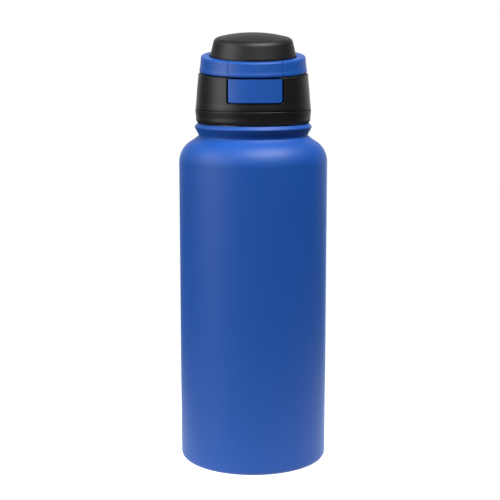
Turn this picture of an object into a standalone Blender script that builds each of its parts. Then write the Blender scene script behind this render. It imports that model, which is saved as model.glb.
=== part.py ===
"""A vacuum-insulated steel water bottle with a push-button drinking lid.

Frame: +Z up, origin at the centre of the base, the button faces -Y, the hinges are at +Y.
Every length below is in millimetres; mm() turns it into Blender's metres.
"""

import math

import bmesh
import bpy
from mathutils import Matrix, Vector

MM = 0.001
GAP = 0.3  # space kept between pieces that touch
ROUND = 32  # facets round a large turned piece
ROUND_SMALL = 20  # facets round a small one

# Bottle body
BODY_R = 46.5
SHEET = 0.5
BASE_FILLET = 4.5
FOOT_R = BODY_R - BASE_FILLET
FOOT_WIDTH = 3.2
SHOULDER_Z = 191.0
SHOULDER_FILLET = 15.0
PINCH_R = 34.0
PINCH_Z = 207.5
FLANGE_R = 36.5
FLANGE_Z = 213.0
FLANGE_TOP = 215.0
VACUUM_GAP = 3.3

# Inner vessel and its threaded neck
LINER_R = BODY_R - SHEET - VACUUM_GAP
LINER_BASE_Z = 7.0
NECK_R = 31.7
MOUTH_R = 30.3
RIM_Z = 225.0
THREAD_LEAD = 4.0
THREAD_CREST_R = 32.9
THREAD_BOTTOM_Z = 217.6
THREAD_TURNS = 1.25
THREAD_ROOT_WIDTH = 1.8
THREAD_CREST_WIDTH = 0.9

# Lid: threaded base, housing and the lean of its top towards the front
BASE_SKIRT_Z = 215.3
BASE_BAND_R = 35.8
BASE_BAND_TOP = 223.8
BASE_BORE_R = 33.4
LID_THREAD_CREST_R = 32.1
LID_THREAD_TURNS = 0.85
FLOOR_Z = 227.2
FLOOR_TOP = 228.8
HOUSING_R = 36.2
HOUSING_Z = 224.1
HOUSING_TOP = 246.2
PLATEAU_R = 22.6
PLATEAU_Z = 250.5
DECK = 1.9
DECK_LEAN = 0.073
TOP_LEAN = 0.110
LOOP_FOOT_LEAN = 0.086
LOOP_TOP_LEAN = 0.1225
LEAN_START_Z = 232.0

# Spout
SPOUT_Y = -8.0
SPOUT_R = 8.8
SPOUT_BORE = 7.3
SPOUT_TOP = 263.2
SPOUT_FLANGE_R = 10.2
SPOUT_FLANGE_Z = 230.2

# Spout cover and carry loop, both hinged at the back
HINGE_Y = 28.2
COVER_PIN_Z = 257.5
LOOP_PIN_Z = 252.3
PIN_R = 1.0
LUG_R = 3.2
LUG_IN = 9.8
LUG_OUT = 12.8
COVER_CROWN = 270.6
COVER_ROOF = 267.4
COVER_WIDE_R = 26.4
COVER_WIDE_Z = 257.2
COVER_RIM_R = 25.2
COVER_RIM_Z = 249.6
COVER_WALL = 1.9
LOOP_Z = 246.9
LOOP_TOP = 256.8
LOOP_R = 32.4
LOOP_FLARE_R = 33.4
LOOP_BORE = 27.0
LOOP_BORE_BOTTOM = 27.9
LOOP_END_X = 13.2
LOOP_KNUCKLE_X = 16.6
LOOP_KNUCKLE_R = 2.8

# Push button, cam fork and valve
BUTTON_HALF = 16.3
BUTTON_Z = 229.2
BUTTON_TOP = 243.2
BUTTON_WALL = 2.4
BUTTON_TRAVEL = 4.0
WINDOW_HALF = 17.1
WINDOW_Z = 228.3
WINDOW_BACK_Y = -30.0
POCKET_BACK_Y = -23.2
POCKET_TOP = 243.45
FORK_X = 10.6
FORK_THICK = 2.0
FORK_BAR_Y = -29.2
STEM_Y = 12.0
STEM_R = 2.0
CROSSBAR_Z = 243.0
CROSSBAR_HALF = 13.2
VENT_Y = 4.9
ARM_Z = 222.4
ARM_THICK = 1.6
PLUG_R = 9.3
PLUG_TOP = FLOOR_Z - GAP
SPRING_RIB_Y = -19.8
BUTTON_SPRING_X = 5.5
BUTTON_SPRING_Z = 236.0


# ---------------------------------------------------------------- helpers


def mm(*values):
    """Millimetres as a tuple of metres."""
    return tuple(v * MM for v in values)


def clear_scene():
    for obj in list(bpy.data.objects):
        bpy.data.objects.remove(obj)


def collection(name):
    made = bpy.data.collections.new(name)
    bpy.context.scene.collection.children.link(made)
    return made


def material(name, colour, roughness, metallic=0.0):
    made = bpy.data.materials.new(name)
    made.use_nodes = True
    shader = made.node_tree.nodes["Principled BSDF"]
    shader.inputs["Base Color"].default_value = (*colour, 1.0)
    shader.inputs["Roughness"].default_value = roughness
    shader.inputs["Metallic"].default_value = metallic
    return made


def add_object(name, mesh):
    """A new object in the cutters' collection; finish() moves it among the parts."""
    obj = bpy.data.objects.new(name, mesh)
    CUTTERS.objects.link(obj)
    return obj


def from_bmesh(name, shape):
    mesh = bpy.data.meshes.new(name)
    shape.to_mesh(mesh)
    shape.free()
    return add_object(name, mesh)


def settle(obj):
    """Turns an object with modifiers, or a curve, into a plain closed mesh object."""
    bpy.context.view_layer.update()
    graph = bpy.context.evaluated_depsgraph_get()
    mesh = bpy.data.meshes.new_from_object(obj.evaluated_get(graph))
    name, place = obj.name, obj.matrix_world.copy()
    bpy.data.objects.remove(obj)
    shape = bmesh.new()
    shape.from_mesh(mesh)
    shape.transform(place)
    bmesh.ops.remove_doubles(shape, verts=shape.verts, dist=1e-6)
    shape.to_mesh(mesh)
    shape.free()
    return add_object(name, mesh)


def arc(centre, radius, start, end, steps):
    """Points round a centre in the outline's plane, from start to end degrees."""
    points = []
    for i in range(steps + 1):
        angle = math.radians(start + (end - start) * i / steps)
        x = centre[0] + radius * math.cos(angle)
        z = centre[1] + radius * math.sin(angle)
        points.append((x, z))
    return points


def turned(name, outline, centre=(0.0, 0.0), facets=ROUND):
    """Spins a closed outline of (radius, height) points, listed down its outer side, about +Z."""
    shape = bmesh.new()
    verts = [shape.verts.new(mm(r, 0.0, z)) for r, z in outline]
    for first, second in zip(verts, verts[1:] + verts[:1]):
        if first.co.x > 0.0 or second.co.x > 0.0:
            shape.edges.new((first, second))
    obj = from_bmesh(name, shape)
    screw = obj.modifiers.new("spin", "SCREW")
    screw.steps = screw.render_steps = facets
    screw.use_merge_vertices = True
    screw.merge_threshold = 0.00001
    obj = settle(obj)
    obj.data.transform(Matrix.Translation(mm(centre[0], centre[1], 0.0)))
    return obj


def box(name, low, high):
    shape = bmesh.new()
    bmesh.ops.create_cube(shape, size=1.0)
    size = Vector(mm(*high)) - Vector(mm(*low))
    middle = (Vector(mm(*high)) + Vector(mm(*low))) / 2
    shape.transform(Matrix.Translation(middle) @ Matrix.Diagonal((*size, 1.0)))
    return from_bmesh(name, shape)


def rod(name, radius, start, end, facets=ROUND_SMALL):
    """A cylinder from one point to another."""
    a, b = Vector(mm(*start)), Vector(mm(*end))
    shape = bmesh.new()
    bmesh.ops.create_cone(
        shape,
        cap_ends=True,
        segments=facets,
        radius1=radius * MM,
        radius2=radius * MM,
        depth=(b - a).length,
    )
    turn = (b - a).to_track_quat("Z", "Y").to_matrix().to_4x4()
    shape.transform(Matrix.Translation((a + b) / 2) @ turn)
    return from_bmesh(name, shape)


def plate(name, outline, low_x, high_x):
    """A flat outline of (y, z) points, given thickness along X."""
    shape = bmesh.new()
    face = shape.faces.new([shape.verts.new(mm(low_x, y, z)) for y, z in outline])
    made = bmesh.ops.extrude_face_region(shape, geom=[face])
    moved = [v for v in made["geom"] if isinstance(v, bmesh.types.BMVert)]
    bmesh.ops.translate(shape, verts=moved, vec=mm(high_x - low_x, 0.0, 0.0))
    bmesh.ops.recalc_face_normals(shape, faces=shape.faces)
    return from_bmesh(name, shape)


def boolean(obj, other, operation):
    change = obj.modifiers.new(operation.lower(), "BOOLEAN")
    change.operation = operation
    change.object = other
    made = settle(obj)
    bpy.data.objects.remove(other)
    return made


def cut(obj, *others):
    for other in others:
        obj = boolean(obj, other, "DIFFERENCE")
    return obj


def join(obj, *others):
    for other in others:
        obj = boolean(obj, other, "UNION")
    return obj


def keep(obj, other):
    """What the two solids share."""
    return boolean(obj, other, "INTERSECT")


def lean(obj, slope_of):
    """Shears a solid so that its level z falls towards the front by slope_of(z) per unit of -Y."""
    for vert in obj.data.vertices:
        vert.co.z += vert.co.y * slope_of(vert.co.z / MM)
    return obj


def deck_slope(z):
    """The slope of the housing at a height: none at its foot, the deck's at its top."""
    share = (z - LEAN_START_Z) / (HOUSING_TOP - LEAN_START_Z)
    return DECK_LEAN * min(1.0, max(0.0, share))


def loop_slope(z):
    """The loop is a wedge: its underside leans a little more than the deck and its top more still."""
    share = (z - LOOP_Z) / (LOOP_TOP - LOOP_Z)
    return LOOP_FOOT_LEAN + (LOOP_TOP_LEAN - LOOP_FOOT_LEAN) * min(1.0, max(0.0, share))


def spout_slope(z):
    """Only the spout's lip leans, so that the pad in the cover meets it squarely."""
    return TOP_LEAN * min(1.0, max(0.0, (z - 252.0) / 6.0))


def helix(name, root_r, crest_r, bottom_z, turns, start_angle):
    """A helical ridge of trapezoid section, right-handed, for one of the two threads."""
    half_root, half_crest = THREAD_ROOT_WIDTH / 2, THREAD_CREST_WIDTH / 2
    section = [
        (root_r, half_root),
        (crest_r, half_crest),
        (crest_r, -half_crest),
        (root_r, -half_root),
    ]
    shape = bmesh.new()
    verts = [shape.verts.new(mm(r, 0.0, bottom_z + z)) for r, z in section]
    for first, second in zip(verts, verts[1:] + verts[:1]):
        shape.edges.new((first, second))
    obj = from_bmesh(name, shape)
    screw = obj.modifiers.new("spin", "SCREW")
    screw.angle = math.tau * turns
    screw.screw_offset = THREAD_LEAD * turns * MM
    screw.steps = screw.render_steps = round(ROUND * turns)
    obj = settle(obj)
    shape = bmesh.new()
    shape.from_mesh(obj.data)
    open_edges = [edge for edge in shape.edges if edge.is_boundary]
    bmesh.ops.holes_fill(shape, edges=open_edges)
    bmesh.ops.recalc_face_normals(shape, faces=shape.faces)
    shape.transform(Matrix.Rotation(math.radians(start_angle), 4, "Z"))
    shape.to_mesh(obj.data)
    shape.free()
    return obj


def coil(name, start, end, radius, wire, turns):
    """A compression spring from one point to another, its wire's ends inside that length."""
    a, b = Vector(mm(*start)), Vector(mm(*end))
    length = (b - a).length
    steps = 8 * turns
    curve = bpy.data.curves.new(name, "CURVE")
    curve.dimensions = "3D"
    curve.bevel_depth = wire / 2 * MM
    curve.bevel_resolution = 1
    curve.use_fill_caps = True
    spline = curve.splines.new("POLY")
    spline.points.add(steps)
    turn = (b - a).to_track_quat("Z", "Y").to_matrix()
    rise = length - wire * MM
    for i, point in enumerate(spline.points):
        angle = math.tau * turns * i / steps
        height = wire / 2 * MM + rise * i / steps
        circle = Vector((radius * math.cos(angle), radius * math.sin(angle), 0.0)) * MM
        circle.z = height
        point.co = (*(a + turn @ circle), 1.0)
    return add_object(name, curve)


def finish(obj, name, look, smooth_angle=35.0):
    """Names a finished solid, gives it its material and moves it among the bottle's parts."""
    obj.name = name
    obj.data.name = name
    obj.data.materials.append(look)
    if obj.type == "MESH":
        obj.data.shade_smooth()
        obj.data.set_sharp_from_angle(angle=math.radians(smooth_angle))
    CUTTERS.objects.unlink(obj)
    PARTS.objects.link(obj)
    return obj


# ---------------------------------------------------------------- bottle


def outer_shell():
    """Painted outer wall: foot, straight side, shoulder, pinched neck and rolled flange."""
    shoulder = (BODY_R - SHOULDER_FILLET, SHOULDER_Z)
    foot = (FOOT_R, BASE_FILLET)
    foot_in = FOOT_R - FOOT_WIDTH
    outer = [
        (NECK_R + GAP, FLANGE_TOP),
        (FLANGE_R - 1.5, FLANGE_TOP - 0.1),
        (FLANGE_R - 0.4, FLANGE_Z + 1.1),
        (FLANGE_R, FLANGE_Z),
        (FLANGE_R - 0.3, FLANGE_Z - 1.1),
        (PINCH_R + 0.5, PINCH_Z + 1.3),
        (PINCH_R, PINCH_Z),
        (PINCH_R + 0.4, PINCH_Z - 1.5),
        *arc(shoulder, SHOULDER_FILLET, 70, 0, 7),
        *arc(foot, BASE_FILLET, 0, -90, 4),
        (foot_in, 0.0),
    ]
    inner = [
        (foot_in, SHEET),
        *arc(foot, BASE_FILLET - SHEET, -90, 0, 2),
        *arc(shoulder, SHOULDER_FILLET - SHEET, 0, 70, 5),
        (PINCH_R - 0.1, PINCH_Z - 1.8),
        (PINCH_R - SHEET, PINCH_Z - 0.2),
        (PINCH_R - SHEET, PINCH_Z + 0.6),
        (FLANGE_R - 1.6, FLANGE_Z - 0.3),
        (FLANGE_R - 1.8, FLANGE_TOP - SHEET - 0.2),
        (NECK_R + GAP, FLANGE_TOP - SHEET),
    ]
    return finish(turned("outer_shell", outer + inner), "outer_shell", PAINT)


def inner_liner():
    """Bare steel vessel with a straight neck, a rounded rim and the thread for the lid."""
    shoulder = (BODY_R - SHOULDER_FILLET, SHOULDER_Z - 1.0)
    shoulder_r = LINER_R - shoulder[0]
    corner = (LINER_R - 5.0, LINER_BASE_Z + 5.0)
    outline = [
        (MOUTH_R + 0.4, RIM_Z),
        (NECK_R - 0.4, RIM_Z),
        (NECK_R, RIM_Z - 0.5),
        (NECK_R, shoulder[1] + shoulder_r + 0.4),
        *arc(shoulder, shoulder_r, 80, 0, 5),
        *arc(corner, 5.0, 0, -90, 2),
        (0.0, LINER_BASE_Z),
        (0.0, LINER_BASE_Z + SHEET),
        *arc(corner, 5.0 - SHEET, -90, 0, 2),
        *arc(shoulder, shoulder_r - SHEET, 0, 80, 4),
        (MOUTH_R, shoulder[1] + shoulder_r + 0.4),
        (MOUTH_R, RIM_Z - 0.5),
    ]
    vessel = turned("inner_liner", outline)
    ridge = helix(
        "ridge",
        NECK_R - 0.6,
        THREAD_CREST_R,
        THREAD_BOTTOM_Z,
        THREAD_TURNS,
        start_angle=0.0,
    )
    return finish(join(vessel, ridge), "inner_liner", STEEL)


def base_cup():
    """Pressed bottom of the outer wall, with a dimple round the hole where the air is drawn out."""
    rim = FOOT_R - FOOT_WIDTH - GAP
    outline = [
        (1.0, 5.0),
        (6.0, 5.0),
        (7.5, 4.0),
        (rim, 4.0),
        (rim, GAP),
        (rim - SHEET, GAP),
        (rim - SHEET, 3.2),
        (7.8, 3.2),
        (6.3, 4.2),
        (1.0, 4.2),
    ]
    return finish(turned("base_cup", outline), "base_cup", STEEL)


def seal_bead():
    """Glass solder that closes the hole in the dimple and keeps the vacuum."""
    outline = [(0.0, 3.9), (1.8, 3.8), (2.6, 3.4), (1.6, 3.05), (0.0, 3.0)]
    return finish(turned("seal_bead", outline, facets=16), "seal_bead", SOLDER)


def base_disc():
    """Thin finishing disc glued over the base cup."""
    radius = FOOT_R - FOOT_WIDTH - GAP - SHEET - GAP
    outline = [
        (0.0, 2.7),
        (radius, 2.7),
        (radius, 2.1),
        (radius - 0.4, 1.9),
        (0.0, 1.9),
    ]
    return finish(turned("base_disc", outline), "base_disc", STEEL)


def getter_cup():
    """Small pan of gas-absorbing powder that sits in the vacuum under the liner."""
    outline = [(0.0, 5.9), (6.4, 5.9), (7.0, 5.5), (7.0, 4.3), (0.0, 4.3)]
    pan = turned("getter_cup", outline, centre=(20.0, 0.0), facets=ROUND_SMALL)
    return finish(pan, "getter_cup", STEEL)


# ---------------------------------------------------------------- lid


def mouth_seal():
    """Silicone ring that the lid's floor presses on the bottle's rim."""
    outline = [
        (29.9, FLOOR_Z - GAP),
        (32.0, FLOOR_Z - GAP),
        (32.0, RIM_Z + GAP),
        (29.9, RIM_Z + GAP),
    ]
    return finish(turned("mouth_seal", outline), "mouth_seal", SILICONE)


def threaded_base():
    """Lower half of the lid: the visible band, the female thread and the floor."""
    upper_r = 34.3
    outline = [
        (0.0, FLOOR_TOP),
        (upper_r, FLOOR_TOP),
        (upper_r, BASE_BAND_TOP),
        (BASE_BAND_R + 0.3, BASE_BAND_TOP),
        (BASE_BAND_R + 0.45, BASE_BAND_TOP - 0.4),
        (BASE_BAND_R + 0.2, BASE_BAND_TOP - 1.6),
        (BASE_BAND_R, BASE_BAND_TOP - 4.0),
        (BASE_BAND_R, BASE_SKIRT_Z + 1.8),
        (BASE_BAND_R - 0.3, BASE_SKIRT_Z + 1.2),
        (BASE_BAND_R - 1.1, BASE_SKIRT_Z),
        (BASE_BORE_R + 0.4, BASE_SKIRT_Z),
        (BASE_BORE_R, BASE_SKIRT_Z + 0.5),
        (BASE_BORE_R, 224.6),
        (32.4, 225.2),
        (32.4, FLOOR_Z),
        (0.0, FLOOR_Z),
    ]
    body = turned("threaded_base", outline)
    ridge = helix(
        "ridge",
        BASE_BORE_R + 0.5,
        LID_THREAD_CREST_R,
        THREAD_BOTTOM_Z - 0.4,
        LID_THREAD_TURNS,
        start_angle=LID_THREAD_START,
    )
    rib = box("rib", (-8.2, SPRING_RIB_Y, FLOOR_Z + 0.4), (8.2, -18.5, 239.0))
    boss = rod("boss", 4.4, (0.0, STEM_Y, FLOOR_Z + 0.4), (0.0, STEM_Y, 230.4))
    flow = rod("flow", SPOUT_BORE, (0.0, SPOUT_Y, 220.0), (0.0, SPOUT_Y, 232.0))
    vent = rod("vent", 1.0, (0.0, VENT_Y, 220.0), (0.0, VENT_Y, 232.0), facets=12)
    guide = rod(
        "guide", STEM_R + 0.4, (0.0, STEM_Y, 220.0), (0.0, STEM_Y, 235.0), facets=16
    )
    pocket = rod("pocket", 4.0, (0.0, STEM_Y, 220.0), (0.0, STEM_Y, 228.6))
    body = join(body, ridge, rib, boss)
    return finish(
        cut(body, flow, vent, guide, pocket), "threaded_base", BLACK_PLASTIC
    )


def lid_housing():
    """Upper half of the lid: flared wall, leaning deck, button window and hinge lugs."""
    outline = [
        (0.0, PLATEAU_Z),
        (PLATEAU_R - 0.8, PLATEAU_Z),
        (PLATEAU_R, PLATEAU_Z - 0.8),
        (PLATEAU_R, HOUSING_TOP),
        (HOUSING_R - 3.2, HOUSING_TOP),
        (HOUSING_R - 2.4, HOUSING_TOP - 0.5),
        (HOUSING_R - 2.0, HOUSING_TOP - 1.9),
        (HOUSING_R - 1.2, 236.0),
        (HOUSING_R - 0.6, 227.4),
        (HOUSING_R - 0.2, 225.4),
        (HOUSING_R, HOUSING_Z + 0.3),
        (HOUSING_R - 0.2, HOUSING_Z),
        (34.6, HOUSING_Z),
        (34.6, FLOOR_TOP + 0.4),
        (33.2, FLOOR_TOP + 0.4),
        (32.4, HOUSING_TOP - 3.0),
        (31.4, HOUSING_TOP - DECK),
        (PLATEAU_R - 1.8, HOUSING_TOP - DECK),
        (PLATEAU_R - 1.8, PLATEAU_Z - DECK),
        (0.0, PLATEAU_Z - DECK),
    ]
    body = lean(turned("lid_housing", outline), deck_slope)
    window = box(
        "window", (-WINDOW_HALF, -45.0, WINDOW_Z), (WINDOW_HALF, WINDOW_BACK_Y, 252.0)
    )
    pocket = box(
        "pocket",
        (-WINDOW_HALF, -45.0, WINDOW_Z),
        (WINDOW_HALF, POCKET_BACK_Y, POCKET_TOP),
    )
    spout_hole = rod(
        "hole", SPOUT_R + GAP, (0.0, SPOUT_Y, 240.0), (0.0, SPOUT_Y, 256.0), ROUND_SMALL
    )
    body = cut(body, window, pocket, spout_hole)
    for side in (-1.0, 1.0):
        near, far = sorted((side * LUG_IN, side * LUG_OUT))
        head = rod("lug", LUG_R, (near, HINGE_Y, COVER_PIN_Z), (far, HINGE_Y, COVER_PIN_Z))
        web = box(
            "web",
            (near, HINGE_Y - LUG_R, HOUSING_TOP),
            (far, HINGE_Y + LUG_R, COVER_PIN_Z),
        )
        body = join(body, web, head)
    bridge = box(
        "bridge",
        (-LUG_IN - 0.5, HINGE_Y - 0.6, HOUSING_TOP + 0.8),
        (LUG_IN + 0.5, HINGE_Y + LUG_R - 0.4, LOOP_PIN_Z + 0.8),
    )
    body = join(body, bridge)
    for z in (COVER_PIN_Z, LOOP_PIN_Z):
        bore = rod("bore", PIN_R + GAP, (-20.0, HINGE_Y, z), (20.0, HINGE_Y, z), 16)
        body = cut(body, bore)
    return finish(body, "lid_housing", BLACK_PLASTIC)


def spout():
    """Drinking spout: a tube with a flange at its foot and a rolled lip."""
    outline = [
        (SPOUT_BORE + 0.4, SPOUT_TOP),
        (SPOUT_R + 0.1, SPOUT_TOP),
        (SPOUT_R + 0.5, SPOUT_TOP - 0.7),
        (SPOUT_R + 0.3, SPOUT_TOP - 1.8),
        (SPOUT_R, SPOUT_TOP - 2.6),
        (SPOUT_R, SPOUT_FLANGE_Z + 1.4),
        (SPOUT_FLANGE_R, SPOUT_FLANGE_Z + 1.4),
        (SPOUT_FLANGE_R, SPOUT_FLANGE_Z),
        (SPOUT_BORE, SPOUT_FLANGE_Z),
        (SPOUT_BORE, SPOUT_TOP - 0.4),
    ]
    tube = turned("spout", outline, centre=(0.0, SPOUT_Y), facets=ROUND_SMALL)
    return finish(lean(tube, spout_slope), "spout", GREY_PLASTIC)


def small_ring(name, y, bore, outer_r, low_z, high_z, look):
    """A flat silicone washer about a vertical axis on the centre plane."""
    outline = [(bore, high_z), (outer_r, high_z), (outer_r, low_z), (bore, low_z)]
    ring = turned(name, outline, centre=(0.0, y), facets=ROUND_SMALL)
    return finish(ring, name, look)


def pin(name, low_x, high_x, y, z):
    """A steel pin along X."""
    return finish(rod(name, PIN_R, (low_x, y, z), (high_x, y, z), 16), name, STEEL)


# ---------------------------------------------------------------- cover and loop


def spout_cover():
    """Domed cover over the spout, with its hinge knuckle at the back."""
    outer = [
        (0.0, COVER_CROWN),
        (7.0, COVER_CROWN - 0.27),
        (12.0, COVER_CROWN - 0.8),
        (16.0, COVER_CROWN - 1.41),
        (19.5, COVER_CROWN - 2.1),
        (21.9, COVER_CROWN - 2.65),
        (23.05, COVER_CROWN - 3.12),
        (23.97, COVER_CROWN - 3.88),
        (24.6, COVER_CROWN - 4.85),
        (24.9, COVER_CROWN - 5.75),
        (COVER_WIDE_R, COVER_WIDE_Z),
        (COVER_RIM_R + 0.2, COVER_RIM_Z + 0.5),
        (COVER_RIM_R, COVER_RIM_Z),
    ]
    inner = [
        (COVER_RIM_R - COVER_WALL, COVER_RIM_Z),
        (COVER_WIDE_R - 0.1 - COVER_WALL, COVER_WIDE_Z),
        (25.1 - COVER_WALL, COVER_ROOF - 3.8),
        (22.0, COVER_ROOF - 1.6),
        (20.0, COVER_ROOF - 0.8),
        (0.0, COVER_ROOF),
    ]
    dome = lean(turned("spout_cover", outer + inner), lambda z: TOP_LEAN)
    half = LUG_IN - 0.4
    knuckle = rod(
        "knuckle", 2.6, (-half, HINGE_Y, COVER_PIN_Z), (half, HINGE_Y, COVER_PIN_Z)
    )
    web = box(
        "web",
        (-half, 24.2, COVER_PIN_Z - 2.2),
        (half, HINGE_Y - 0.4, COVER_PIN_Z + 2.4),
    )
    bore = rod(
        "bore", PIN_R + GAP, (-14.0, HINGE_Y, COVER_PIN_Z), (14.0, HINGE_Y, COVER_PIN_Z), 16
    )
    dome = cut(join(dome, web, knuckle), bore)
    return finish(dome, "spout_cover", BLACK_PLASTIC)


def cover_seal():
    """Silicone pad bonded inside the cover, which closes the spout's mouth."""
    top = SPOUT_TOP + 3.0
    outline = [
        (0.0, top),
        (10.6, top),
        (11.4, top - 0.8),
        (11.4, SPOUT_TOP + 0.4),
        (0.0, SPOUT_TOP + 0.4),
    ]
    pad = turned("cover_seal", outline, centre=(0.0, SPOUT_Y), facets=ROUND_SMALL)
    return finish(lean(pad, lambda z: TOP_LEAN), "cover_seal", SILICONE)


def loop_band(name):
    """The loop's full ring before its hinge gap and its front pocket are cut."""
    outline = [
        (LOOP_BORE + 0.5, LOOP_TOP),
        (LOOP_R - 0.9, LOOP_TOP),
        (LOOP_R - 0.1, LOOP_TOP - 0.8),
        (LOOP_R + 0.3, LOOP_TOP - 4.0),
        (LOOP_R + 0.7, LOOP_TOP - 7.2),
        (LOOP_FLARE_R, LOOP_Z + 1.8),
        (LOOP_FLARE_R, LOOP_Z + 0.6),
        (LOOP_FLARE_R - 0.6, LOOP_Z),
        (LOOP_BORE_BOTTOM, LOOP_Z),
        (LOOP_BORE, LOOP_TOP - 0.5),
    ]
    return lean(turned(name, outline), loop_slope)


def front_sector(name, half_width, inner_r):
    """A block at the front, outside a given radius, for the loop's pocket and its insert."""
    block = box(name, (-half_width, -45.0, 235.0), (half_width, -20.0, 265.0))
    inside = rod("core", inner_r, (0.0, 0.0, 230.0), (0.0, 0.0, 270.0), ROUND)
    return cut(block, inside)


def carry_loop():
    """Carrying loop round the cover: open at the back, with a hinge knuckle on each end."""
    band = loop_band("carry_loop")
    gap = box("gap", (-LOOP_END_X, 15.0, 235.0), (LOOP_END_X, 45.0, 270.0))
    pocket = front_sector("pocket", BUTTON_HALF + 0.2, 30.0)
    left, right = (-LOOP_KNUCKLE_X, HINGE_Y, LOOP_PIN_Z), (LOOP_KNUCKLE_X, HINGE_Y, LOOP_PIN_Z)
    knuckles = rod("knuckles", LOOP_KNUCKLE_R, left, right)
    bore = rod("bore", PIN_R + GAP, (-20.0, *left[1:]), (20.0, *right[1:]), 16)
    band = cut(join(band, knuckles), gap, pocket, bore)
    return finish(band, "carry_loop", BLUE_PLASTIC)


def loop_front_insert():
    """Snap-in front of the loop, flush with the band above the button."""
    band = keep(loop_band("band"), front_sector("sector", BUTTON_HALF - 0.1, 30.3))
    return finish(band, "loop_front_insert", BLUE_PLASTIC)


# ---------------------------------------------------------------- button and valve


def button():
    """Push button: a curved plate flush with the housing, with a boss behind it."""
    outer_bottom, outer_top = HOUSING_R - 0.65, HOUSING_R - 1.75
    outline = [
        (outer_top - 0.4, BUTTON_TOP),
        (outer_top, BUTTON_TOP - 0.4),
        (outer_bottom, BUTTON_Z + 0.4),
        (outer_bottom - 0.4, BUTTON_Z),
        (outer_bottom - BUTTON_WALL, BUTTON_Z),
        (outer_top - BUTTON_WALL, BUTTON_TOP),
    ]
    front = box("front", (-BUTTON_HALF, -45.0, 220.0), (BUTTON_HALF, 0.0, 250.0))
    face = keep(turned("button", outline, facets=2 * ROUND), front)
    boss = box("boss", (-6.0, -33.4, 234.0), (6.0, FORK_BAR_Y - GAP, 240.0))
    return finish(join(face, boss), "button", BLUE_PLASTIC)


def cam_fork():
    """Fork behind the button: its two ramps push the valve's crossbar down."""
    contact_y = STEM_Y - 0.92
    contact_z = CROSSBAR_Z + 0.92
    reach = BUTTON_TRAVEL + 0.9
    arm = [
        (FORK_BAR_Y + 0.6, 234.5),
        (-10.0, 234.5),
        (contact_y - reach - 3.0, contact_z - reach - 2.6),
        (contact_y - reach, contact_z - reach),
        (contact_y + 0.4, contact_z + 0.4),
        (-4.0, contact_z + 0.4),
        (-9.0, 240.6),
        (FORK_BAR_Y + 0.6, 240.6),
    ]
    outside = FORK_X + FORK_THICK
    fork = box(
        "cam_fork", (-outside, FORK_BAR_Y, 233.6), (outside, FORK_BAR_Y + 2.0, 240.6)
    )
    left = plate("left", arm, -outside, -FORK_X)
    right = plate("right", arm, FORK_X, outside)
    return finish(join(fork, left, right), "cam_fork", GREY_PLASTIC)


def valve_arm():
    """Stem through the lid's floor, with the shoulder for its spring and the arm under it."""
    top = CROSSBAR_Z + 2.2
    shoulder_z = CROSSBAR_Z - 3.0
    stem_outline = [
        (0.0, top),
        (2.8, top),
        (2.8, shoulder_z + 1.2),
        (3.8, shoulder_z + 1.2),
        (3.8, shoulder_z),
        (STEM_R, shoulder_z),
        (STEM_R, ARM_Z + 0.4),
        (0.0, ARM_Z + 0.4),
    ]
    stem = turned("valve_arm", stem_outline, centre=(0.0, STEM_Y), facets=ROUND_SMALL)
    bar = box("bar", (-3.6, SPOUT_Y, ARM_Z), (3.6, STEM_Y, ARM_Z + ARM_THICK))
    seat = rod(
        "seat", 7.0, (0.0, SPOUT_Y, ARM_Z), (0.0, SPOUT_Y, ARM_Z + ARM_THICK)
    )
    end = rod(
        "end", 3.6, (0.0, STEM_Y, ARM_Z), (0.0, STEM_Y, ARM_Z + ARM_THICK)
    )
    bore = rod(
        "bore", PIN_R + GAP, (-6.0, STEM_Y, CROSSBAR_Z), (6.0, STEM_Y, CROSSBAR_Z), 16
    )
    body = cut(join(bar, seat, end, stem), bore)
    return finish(body, "valve_arm", GREY_PLASTIC)


def plug(name, y, radius):
    """A silicone stopper that the valve arm lifts against the lid's floor."""
    low = ARM_Z + ARM_THICK + GAP
    outline = [
        (0.0, PLUG_TOP),
        (radius - 0.5, PLUG_TOP),
        (radius, PLUG_TOP - 0.5),
        (radius - 0.3, low),
        (0.0, low),
    ]
    stopper = turned(name, outline, centre=(0.0, y), facets=ROUND_SMALL)
    return finish(stopper, name, SILICONE)


def springs():
    """The valve's spring round its stem, and the two that push the button out."""
    valve = coil(
        "valve_spring",
        (0.0, STEM_Y, 230.4 + GAP),
        (0.0, STEM_Y, CROSSBAR_Z - 3.0 - GAP),
        radius=3.1,
        wire=0.7,
        turns=5,
    )
    finish(valve, "valve_spring", STEEL)
    for side, label in ((-1.0, "left"), (1.0, "right")):
        x = side * BUTTON_SPRING_X
        spring = coil(
            "spring",
            (x, FORK_BAR_Y + 2.0 + GAP, BUTTON_SPRING_Z),
            (x, SPRING_RIB_Y - GAP, BUTTON_SPRING_Z),
            radius=2.0,
            wire=0.5,
            turns=4,
        )
        finish(spring, f"button_spring_{label}", STEEL)


# ---------------------------------------------------------------- assembly

# The lid's thread ridge sits half a lead below the neck's at every angle, so it starts
# where that offset puts it on the same right-handed helix.
LID_THREAD_START = 360.0 * ((THREAD_LEAD / 2 - 0.4) / THREAD_LEAD)

clear_scene()
PARTS = collection("water_bottle")
CUTTERS = collection("cutters")
PAINT = material("blue_powder_coat", (0.020, 0.085, 0.370), 0.45)
STEEL = material("stainless_steel", (0.62, 0.61, 0.59), 0.28, metallic=1.0)
SOLDER = material("glass_solder", (0.10, 0.11, 0.12), 0.25)
BLUE_PLASTIC = material("blue_plastic", (0.022, 0.090, 0.380), 0.42)
BLACK_PLASTIC = material("black_plastic", (0.012, 0.012, 0.013), 0.42)
GREY_PLASTIC = material("dark_grey_plastic", (0.055, 0.056, 0.060), 0.45)
SILICONE = material("clear_grey_silicone", (0.42, 0.43, 0.44), 0.60)

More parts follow.
